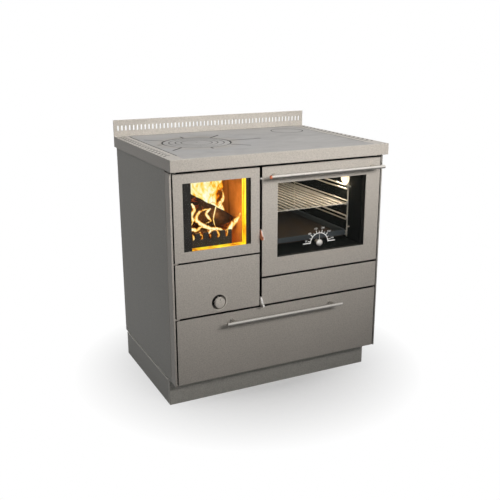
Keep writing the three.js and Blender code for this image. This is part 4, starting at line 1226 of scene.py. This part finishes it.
class StoveOvenFittings(StoveStep, bpy.types.Operator):
    """Bend the oven's racks and shelf from round wire and form the baking tray"""

    bl_idname = "stove.oven_fittings"
    bl_label = "Oven racks, shelf and tray"

    def execute(self, context):
        sizes = context.scene.stove_sizes
        for node, (wall, inward) in RACK_WALLS.items():
            rung, upright = wall + inward * RACK_INSET, wall + inward * 11
            paths = []
            for depth in (116, 506):
                paths += [
                    [place(wall + inward * 0.4, depth, z), place(upright, depth, z)] for z in (536, 684)
                ]
                paths.append([place(upright, depth, 500), place(upright, depth, 700)])
            for low, high in zip(RACK_RUNGS[::2], RACK_RUNGS[1::2]):
                paths.append(self.hairpin(rung, low, high))
            wires(node + "_wires", paths, sizes.rack_wire, "root", "oven_wire", (node,))
        left, right = (wall + inward * RACK_INSET for wall, inward in RACK_WALLS.values())
        front, back = RACK_SPAN
        edge = [place(x, depth, SHELF_HEIGHT) for x, depth in (
            (left + 4, front), (right - 4, front), (right - 1, front + 1), (right, front + 4),
            (right, back - 4), (right - 1, back - 1), (right - 4, back), (left + 4, back),
            (left + 1, back - 1), (left, back - 4), (left, front + 4), (left + 1, front + 1),
        )]
        wires("oven_shelf_edge", [edge], 0.0019, "root", "oven_wire",
              ("oven_shelf",), closed=True)
        bars = []
        for i in range(1, SHELF_BARS + 1):
            x = left + i * (right - left) / (SHELF_BARS + 1)
            bars.append([place(x, front + 0.5, SHELF_HEIGHT), place(x, back - 0.5, SHELF_HEIGHT)])
        wires("oven_shelf_bars", bars, sizes.shelf_bar, "root", "oven_wire")
        folded("baking_tray", "tray_enamel", 0.0008, 0.01, 3)
        return {"FINISHED"}

    @staticmethod
    def hairpin(x, low, high):
        """Two rungs of one wire, joined by a round bend at the front."""
        front, back = RACK_SPAN
        middle, radius = (low + high) / 2, (high - low) / 2
        points = [place(x, back, high)]
        for i in range(9):
            turn = math.radians(90 + 180 * i / 8)
            reach = front + radius + radius * math.cos(turn) * 0.9
            points.append(place(x, reach, middle + radius * math.sin(turn)))
        points.append(place(x, back, low))
        return points


class StoveDial(StoveStep, bpy.types.Operator):
    """Print the thermometer's scale on the oven glass and turn its hub and needle"""

    bl_idname = "stove.dial"
    bl_label = "Thermometer"

    def execute(self, context):
        x, z = DIAL
        shape = bmesh.new()
        self.band(shape, 33.6, 36.2, 0, 180, 48)
        for i in range(11):
            turn = 169 - 15.66 * i
            self.stroke(shape, 36, 42.5 if i % 2 else 46, turn, 0.9 if i % 2 else 1.2)
        self.stroke(shape, 34, 64, 0, 1.7, 2.2)
        self.stroke(shape, 34, 64, 180, 1.7, -2.2)
        mesh = mesh_from("dial_scale", shape)
        added("dial_scale", mesh, "oven_door", "dial_print")

        for i in range(1, 7):
            turn = math.radians(169 - 31.32 * (i - 1))
            text = bpy.data.curves.new(f"dial_number_{i * 50}", "FONT")
            text.body = str(i * 50)
            text.size = context.scene.stove_sizes.numeral
            text.align_x = "CENTER"
            text.align_y = "CENTER"
            text.extrude = 0.00003
            number = added(f"dial_number_{i * 50}", text, "oven_door", "dial_print")
            number.matrix_world = Matrix.Translation(
                place(x + 53 * math.cos(turn), PRINT_DEPTH + 0.02, z + 53 * math.sin(turn))
            ) @ Matrix.Rotation(math.radians(90), 4, "X")

        profile = [
            (0, 19), (3.2, 19.15), (6.6, 19.9), (9.4, 21.4), (11.4, 23.6), (12.4, 25.2), (12.5, 27.2),
            (11.8, 27.5), (2.9, 27.5), (2.9, 32.1), (9, 32.1), (9, 44), (0, 44),
        ]
        shape = bmesh.new()
        lathe(shape, in_metres(profile), place(x, 0, z), (0, 1, 0), 64)
        tip = [(-1.3, 12), (-0.45, 31), (0.45, 31), (1.3, 12)]
        front = [shape.verts.new(place(x + a, 25.9, z + b)) for a, b in tip]
        back = [shape.verts.new(place(x + a, 27.1, z + b)) for a, b in tip]
        shape.faces.new(front)
        shape.faces.new(back[::-1])
        for i in range(4):
            j = (i + 1) % 4
            shape.faces.new((front[i], front[j], back[j], back[i]))
        bmesh.ops.recalc_face_normals(shape, faces=shape.faces)
        added("thermometer_turned", mesh_from("thermometer_turned", shape, 25), "thermometer",
              "handle_steel", ("thermometer",))
        return {"FINISHED"}

    @staticmethod
    def at(radius, turn, aside=0.0):
        turn = math.radians(turn)
        along = (math.cos(turn), math.sin(turn))
        return place(
            DIAL[0] + radius * along[0] - aside * along[1], PRINT_DEPTH,
            DIAL[1] + radius * along[1] + aside * along[0],
        )

    def band(self, shape, inner, outer, start, end, steps):
        for i in range(steps):
            first = start + (end - start) * i / steps
            second = start + (end - start) * (i + 1) / steps
            shape.faces.new([shape.verts.new(self.at(radius, turn)) for radius, turn in (
                (inner, first), (outer, first), (outer, second), (inner, second),
            )])

    def stroke(self, shape, inner, outer, turn, half, shift=0.0):
        shape.faces.new([shape.verts.new(self.at(radius, turn, aside + shift)) for radius, aside in (
            (inner, -half), (outer, -half), (outer, half), (inner, half),
        )])


# ------------------------------------------------------------------ operators: firebox


class StoveFireboxLining(StoveStep, bpy.types.Operator):
    """Break the edges of the firebricks, grate and log guard, and paint the fire's reflection on the mouth's
    reveals
    """

    bl_idname = "stove.firebox_lining"
    bl_label = "Firebox lining"

    def execute(self, context):
        for node in ("firebrick_left", "firebrick_right", "firebrick_rear"):
            folded(node, "firebrick", 0.003, 0.02, 3)
        folded("log_guard", "cast_iron", 0.0009, 0.004)
        folded("fire_grate", "cast_iron", 0.0015, 0.02)
        (left, right), (bottom, top) = FIRE_MOUTH
        plates = {
            "mouth_reveal": ("root", (50.2, 61.3), (50.2, 63.0), (546.6, 547.6)),
            "liner_reveal": ("firebox_door", (32.3, 46.4), (34.0, 49.4), (545.3, 546.5)),
        }
        for name, (body, depth, sill, rise) in plates.items():
            shape = bmesh.new()
            block_mesh(
                shape, place(right - 1.0, depth[0], bottom + 5), place(right - 0.1, depth[1], top - 8)
            )
            corners = [
                shape.verts.new(place(x, y, z + lift))
                for lift in (0.0, 0.8)
                for x, y, z in (
                    (left + 10, sill[0], rise[0]), (right - 1.4, sill[0], rise[0]),
                    (right - 1.4, sill[1], rise[1]), (left + 10, sill[1], rise[1]),
                )
            ]
            for face in ((3, 2, 1, 0), (4, 5, 6, 7), (0, 1, 5, 4), (1, 2, 6, 5), (2, 3, 7, 6), (3, 0, 4, 7)):
                shape.faces.new([corners[k] for k in face])
            added(name, mesh_from(name, shape), body, "reveal_fire_reflection")
        return {"FINISHED"}


class StoveLogs(StoveStep, bpy.types.Operator):
    """Lay burning split logs and embers on the grate"""

    bl_idname = "stove.logs"
    bl_label = "Logs and embers"

    def execute(self, context):
        self.log("log_main", (-318, 150, 705), (-150, 160, 606), 48, 3)
        self.log("log_low", (-322, 118, 592), (-186, 130, 556), 30, 8)
        self.log("log_back", (-330, 300, 600), (-150, 260, 560), 40, 12)
        self.log("log_left", (-322, 130, 690), (-286, 120, 560), 22, 21)
        self.embers(context.scene.stove_sizes.embers)
        return {"FINISHED"}

    @staticmethod
    def log(name, start, end, radius, seed):
        """A split log between the middles of its ends: bark on its round side, a flat face on top."""
        first, last = place(*start), place(*end)
        along = (last - first).normalized()
        up = (Vector((0, 0, 1)) - along * along.z).normalized()
        side = along.cross(up)
        shape = bmesh.new()
        rings, steps = 22, 26
        rows = []
        for i in range(rings + 1):
            centre = first.lerp(last, i / rings)
            row = []
            for j in range(steps):
                turn = 2 * math.pi * j / steps
                reach = 1.0 / max(1.0, 2.2 * math.sin(turn)) if math.sin(turn) > 0 else 1.0
                sample = Vector((i * 0.35, math.cos(turn) * 1.6, math.sin(turn) * 1.6 + seed))
                reach *= 1.0 + 0.13 * noise.noise(sample) + 0.05 * noise.noise(sample * 4)
                offset = side * math.cos(turn) + up * math.sin(turn)
                row.append(shape.verts.new(centre + offset * (radius / 1000 * reach)))
            rows.append(row)
        skin(shape, rows, closed=True)
        shape.faces.new(rows[0][::-1])
        shape.faces.new(rows[-1])
        bmesh.ops.recalc_face_normals(shape, faces=shape.faces)
        added(name, mesh_from(name, shape, 40), "root", "charred_wood")

    @staticmethod
    def embers(count):
        """A bed of glowing lumps over the grate."""
        source = random.Random(11)
        shape = bmesh.new()
        for _ in range(count):
            size = source.uniform(7, 17) / 1000
            spot = place(source.uniform(-318, -142), source.uniform(92, 400), 518 + size * 420)
            turn = Matrix.Rotation(source.uniform(0, 6), 4, "Z") @ Matrix.Diagonal((1.3, 0.9, 0.75, 1))
            made = bmesh.ops.create_icosphere(
                shape, subdivisions=2, radius=size, matrix=Matrix.Translation(spot) @ turn
            )
            for vert in made["verts"]:
                away = vert.co - spot
                vert.co = spot + away * (1.0 + 0.35 * noise.noise(vert.co * 120))
        added("ember_bed", mesh_from("ember_bed", shape, 50), "root", "ember")


class StoveFlames(StoveStep, bpy.types.Operator):
    """Light the fire: sheets of flame behind the logs and tongues around them"""

    bl_idname = "stove.flames"
    bl_label = "Flames"

    def execute(self, context):
        sheets = (
            ("flame_back", 330, (-331, -128), (560, 786), (0.3, 0.0, 0.1)),
            ("flame_middle", 220, (-331, -132), (600, 788), (1.7, 0.4, 0.9)),
            ("flame_front", 168, (-331, -143), (640, 788), (3.1, 0.8, 1.6)),
        )
        for name, depth, x, z, shift in sheets:
            self.sheet(name, depth, x, z, shift)
        tongues = {
            "curl": (78, 10, (
                (-214, 597), (-245, 606), (-270, 620), (-291, 640), (-284, 660), (-260, 670), (-232, 668),
            )),
            "hook": (77, 7, ((-236, 669), (-252, 655), (-246, 640), (-240, 630), (-260, 624))),
            "low_left": (79, 9, ((-328, 594), (-308, 608), (-290, 604), (-274, 612), (-262, 608))),
            "left_edge": (80, 8, ((-306, 694), (-296, 674), (-304, 652), (-298, 634), (-306, 612))),
            "thread": (80, 3.4, ((-219, 680), (-226, 654), (-228, 634), (-222, 612), (-214, 598))),
            "middle": (76, 8, ((-246, 588), (-228, 600), (-208, 598), (-192, 590), (-180, 596))),
            "blade": (78, 13, ((-172, 578), (-168, 600), (-152, 622), (-140, 634), (-131, 652))),
            "log_end": (150, 13, ((-180, 628), (-166, 642), (-172, 662), (-158, 684), (-164, 716))),
            "log_top": (146, 12, ((-214, 660), (-200, 664), (-188, 656), (-176, 660), (-168, 684))),
        }
        for i in range(5):
            x = -304 + 29.5 * i
            tongues[f"guard_gap_{i + 1}"] = (
                76, 5 + 2 * (i % 2), ((x + 2, 560), (x + 6, 574), (x + 3, 586), (x - 4, 598), (x - 1, 610)),
            )
        for name, (depth, width, points) in tongues.items():
            self.tongue("flame_" + name, depth, width, points, 0.62 if name.startswith("guard") else 1.0)
        self.lights(context)
        return {"FINISHED"}

    @staticmethod
    def sheet(name, depth, x, z, shift):
        shape = bmesh.new()
        across, up = 22, 26
        grid = []
        for j in range(up + 1):
            row = []
            for i in range(across + 1):
                u, v = i / across, j / up
                wave = 16 * math.sin(5 * u + 4 * v + shift[0]) + 9 * math.sin(11 * u - 7 * v)
                row.append(shape.verts.new(place(
                    x[0] + (x[1] - x[0]) * u, depth + wave + 24 * v, z[0] + (z[1] - z[0]) * v
                )))
            grid.append(row)
        skin(shape, grid)
        piece = added(
            name, mesh_from(name, shape, 80), "root", flame_wall(name, x[1] / 1000, shift)
        )
        piece.visible_diffuse = piece.visible_shadow = False

    @staticmethod
    def tongue(name, depth, width, points, heat=1.0):
        """A ribbon of flame through points of (x, z); it swells to its width and ends in a tip."""
        shape = bmesh.new()
        glow = shape.verts.layers.float_color.new("glow")
        knots = [place(x, depth, z) for x, z in points]
        steps = 26
        rows = []
        for i in range(steps + 1):
            along = i / steps
            centre, heading = StoveFlames.curve_at(knots, along)
            side = heading.cross(Vector((0.42, 0.86, 0))).normalized()
            swell = math.sin(math.pi * min(1.0, along * 0.92 + 0.08)) ** 0.8 * (1.15 - 0.5 * along)
            bulge = Vector((0, 0.006 * math.sin(3 * along + depth), 0))
            row = []
            for k in range(7):
                across = (k - 3) / 3
                core = 1.0 - across * across
                vert = shape.verts.new(
                    centre + bulge + side * (across * width * swell / 1000)
                    - Vector((0, 0.35 * core * width * swell / 1000, 0))
                )
                vert[glow] = (core * heat, along, 0.0, 1.0)
                row.append(vert)
            rows.append(row)
        skin(shape, rows)
        piece = added(name, mesh_from(name, shape, 80), "root", "flame_tongue")
        piece.visible_diffuse = piece.visible_shadow = False

    @staticmethod
    def curve_at(knots, along):
        """Point and direction on a smooth curve through the knots."""
        spans = len(knots) - 1
        index = min(int(along * spans), spans - 1)
        t = along * spans - index
        a, b, c, d = (knots[max(0, min(spans, index + k))] for k in (-1, 0, 1, 2))
        point = 0.5 * (
            2 * b + (c - a) * t + (2 * a - 5 * b + 4 * c - d) * t * t + (3 * b - a - 3 * c + d) * t ** 3
        )
        heading = 0.5 * ((c - a) + 2 * (2 * a - 5 * b + 4 * c - d) * t + 3 * (3 * b - a - 3 * c + d) * t * t)
        return point, heading.normalized()

    @staticmethod
    def lights(context):
        power = context.scene.stove_light.fire
        for i, (x, depth, z) in enumerate(((-250, 130, 720), (-205, 100, 640), (-280, 100, 610))):
            lamp = bpy.data.lights.new(f"fire_light_{i + 1}", "POINT")
            lamp.energy = power
            lamp.color = (1.0, 0.4, 0.07)
            lamp.shadow_soft_size = 0.03
            held = bpy.data.objects.new(lamp.name, lamp)
            held.location = place(x, depth, z)
            context.scene.collection.objects.link(held)


# ------------------------------------------------------------------ operators: trim


class StoveSeals(StoveStep, bpy.types.Operator):
    """Lay rope seals behind the doors"""

    bl_idname = "stove.seals"
    bl_label = "Door seals"

    def execute(self, context):
        radius = context.scene.stove_sizes.seal
        loops = {
            "firebox_seal": ("firebox_door", rounded_loop((-335, -127), 48.3, (536, 781), 8)),
            "ash_seal": ("ash_door", rounded_loop((-356, -109), 48.6, (352, 496), 8)),
            "oven_seal": ("oven_door", rounded_loop((-26, 338), 48.3, (480, 754), 10)),
        }
        for name, (body, loop) in loops.items():
            wires(name, [loop], radius, body, "rope", closed=True)
        return {"FINISHED"}


class StoveFasteners(StoveStep, bpy.types.Operator):
    """Drive the screws that hold the back"""

    bl_idname = "stove.fasteners"
    bl_label = "Screws"

    def execute(self, context):
        head = [
            (0, -0.0003), (0.0012, -0.0003), (0.0012, -0.0018), (0.0032, -0.0015), (0.0039, -0.0006),
            (0.004, 0), (0, 0),
        ]
        spots = []
        for x in (-380, -190, 0, 190, 380):
            spots += [(x, 102), (x, 826)]
        for z in (250, 400, 550, 700):
            spots += [(-382, z), (382, z)]
        bodies = [
            ([(radius, -distance) for radius, distance in reversed(head)], place(x, 580.5, z), (0, 1, 0))
            for x, z in spots
        ]
        mesh = turned_mesh("rear_screws", bodies, 18, 40)
        added("rear_screws", mesh, "root", "bright_steel")
        return {"FINISHED"}


# ------------------------------------------------------------------ operators: stage


class StoveStage(StoveStep, bpy.types.Operator):
    """Set up the floor, the studio lamps, the white surroundings and the camera"""

    bl_idname = "stove.stage"
    bl_label = "Stage and camera"

    def execute(self, context):
        self.floor(context)
        self.surroundings(context)
        self.lamps(context)
        self.camera(context)
        context.scene.view_settings.view_transform = "Standard"
        return {"FINISHED"}

    @staticmethod
    def seen_directly(tree):
        """1 for camera, glossy and transmission rays, 0 for the rest."""
        path = tree.nodes.new("ShaderNodeLightPath").outputs
        total = None
        for name in ("Is Camera Ray", "Is Glossy Ray", "Is Transmission Ray"):
            if total is None:
                total = path[name]
                continue
            highest = tree.nodes.new("ShaderNodeMath")
            highest.operation = "MAXIMUM"
            tree.links.new(total, highest.inputs[0])
            tree.links.new(path[name], highest.inputs[1])
            total = highest.outputs[0]
        return total

    def floor(self, context):
        shape = bmesh.new()
        bmesh.ops.create_circle(shape, cap_ends=True, segments=96, radius=14.0)
        finish = Finish("pale_floor")
        seen = self.seen_directly(finish.tree)
        fine = finish.noise(60.0, 3.0)
        finish.set(
            base_color=finish.mix(
                seen, (0.32, 0.32, 0.32),
                finish.ramp(fine, (0.3, (0.95, 0.95, 0.95)), (0.7, (0.98, 0.98, 0.98))),
            ),
            roughness=0.9,
            specular_ior_level=0.0,
        )
        away = finish.length(finish.where)
        far = finish.times(finish.span(away, 0.25, 0.66, 0.4, 1.0), seen)
        white = finish.node("ShaderNodeEmission", {"Color": (1, 1, 1, 1), "Strength": 1.0})
        both = finish.node("ShaderNodeMixShader", {0: far, 1: finish.shader.outputs[0], 2: white.outputs[0]})
        output = finish.tree.nodes["Material Output"]
        finish.tree.links.new(both.outputs[0], output.inputs["Surface"])
        mesh = mesh_from("pale_floor", shape)
        mesh.materials.append(finish.material)
        held = bpy.data.objects.new("pale_floor", mesh)
        context.scene.collection.objects.link(held)

    def surroundings(self, context):
        world = bpy.data.worlds.new("white_surroundings")
        context.scene.world = world
        world.use_nodes = True
        tree = world.node_tree
        background = tree.nodes["Background"]
        background.inputs["Color"].default_value = (1, 1, 1, 1)
        strength = tree.nodes.new("ShaderNodeMapRange")
        strength.inputs["To Min"].default_value = context.scene.stove_light.ambient
        strength.inputs["To Max"].default_value = 1.0
        tree.links.new(self.seen_directly(tree), strength.inputs["Value"])
        tree.links.new(strength.outputs[0], background.inputs["Strength"])

    @staticmethod
    def lamp(context, name, spot, target, size, power, tint, spread):
        lamp = bpy.data.lights.new(name, "AREA")
        lamp.shape = "RECTANGLE"
        lamp.size, lamp.size_y = size
        lamp.energy = power
        lamp.color = tint
        lamp.spread = math.radians(spread)
        held = bpy.data.objects.new(name, lamp)
        heading = Vector(target) - Vector(spot)
        held.matrix_world = Matrix.Translation(spot) @ heading.to_track_quat("-Z", "Y").to_matrix().to_4x4()
        held.visible_glossy = False
        context.scene.collection.objects.link(held)

    def lamps(self, context):
        light = context.scene.stove_light
        lamps = {
            "front_lamp": ((0.6, -2.0, 1.6), (0.08, 0.0, 0.95), (1.8, 0.65),
                           light.front, (1.0, 0.965, 0.92), 56),
            "top_lamp": ((0.0, 0.1, 3.0), (0.0, 0.1, 0.0), (2.4, 2.0), light.top, (1.0, 1.0, 1.0), 180),
            "left_lamp": ((-1.9, -0.2, 2.5), (-0.4, 0.0, 0.85), (1.2, 0.6),
                          light.left, (1.0, 1.0, 0.99), 64),
            "oven_lamp_light": (place(314, 150, 712), place(0, 190, 640), (0.05, 0.09),
                                OVEN_LAMP_SHARE * light.oven, (1.0, 0.86, 0.66), 180),
            "oven_fill_light": (place(150, 300, 738), place(150, 300, 0), (0.24, 0.36),
                                OVEN_FILL_SHARE * light.oven, (1.0, 0.88, 0.7), 180),
        }
        for name, lamp in lamps.items():
            self.lamp(context, name, *lamp)

    @staticmethod
    def camera(context):
        azimuth, elevation = CAMERA_AZIMUTH, CAMERA_ELEVATION
        back = Vector((
            math.sin(azimuth) * math.cos(elevation),
            -math.cos(azimuth) * math.cos(elevation),
            math.sin(elevation),
        ))
        right = Vector((math.cos(azimuth), math.sin(azimuth), 0.0))
        turn = Matrix((right, back.cross(right), back)).transposed()
        data = bpy.data.cameras.new("camera")
        data.sensor_width = 36.0
        data.sensor_fit = "HORIZONTAL"
        data.lens = FOCAL_PIXELS * data.sensor_width / PIXELS
        data.clip_end = 60.0
        held = bpy.data.objects.new("camera", data)
        held.matrix_world = (
            Matrix.Translation(CAMERA_PLACE) @ turn.to_4x4() @ Matrix.Rotation(CAMERA_ROLL, 4, "Z")
        )
        context.scene.collection.objects.link(held)
        context.scene.camera = held


# ------------------------------------------------------------------ panel and registration

STEPS = (
    StovePlainFinishes, StoveSheetWork, StoveHob, StoveHandles, StoveLatches, StoveAirKnob,
    StoveOvenFittings, StoveDial, StoveFireboxLining, StoveLogs, StoveFlames, StoveSeals,
    StoveFasteners, StoveStage,
)


class StovePanel(bpy.types.Panel):
    """The stove's pieces, one button each"""

    bl_idname = "VIEW3D_PT_stove"
    bl_label = "Wood cookstove"
    bl_space_type = "VIEW_3D"
    bl_region_type = "UI"
    bl_category = "Stove"

    def draw(self, context):
        column = self.layout.column(align=True)
        for step in STEPS:
            column.operator(step.bl_idname)
        for group in (context.scene.stove_sizes, context.scene.stove_colours, context.scene.stove_light):
            box = self.layout.box()
            for name in group.__annotations__:
                box.prop(group, name)


GROUPS = {"stove_sizes": StoveSizes, "stove_colours": StoveColours, "stove_light": StoveLight}


def register():
    for part in (*GROUPS.values(), *STEPS, StovePanel):
        bpy.utils.register_class(part)
    for name, group in GROUPS.items():
        setattr(bpy.types.Scene, name, PointerProperty(type=group))


def unregister():
    for name in GROUPS:
        delattr(bpy.types.Scene, name)
    for part in reversed((*GROUPS.values(), *STEPS, StovePanel)):
        bpy.utils.unregister_class(part)


def main():
    register()
    for step in STEPS:
        group, name = step.bl_idname.split(".")
        if getattr(getattr(bpy.ops, group), name)() != {"FINISHED"}:
            raise RuntimeError(step.bl_label + " did not finish")


if __name__ == "__main__":
    main()
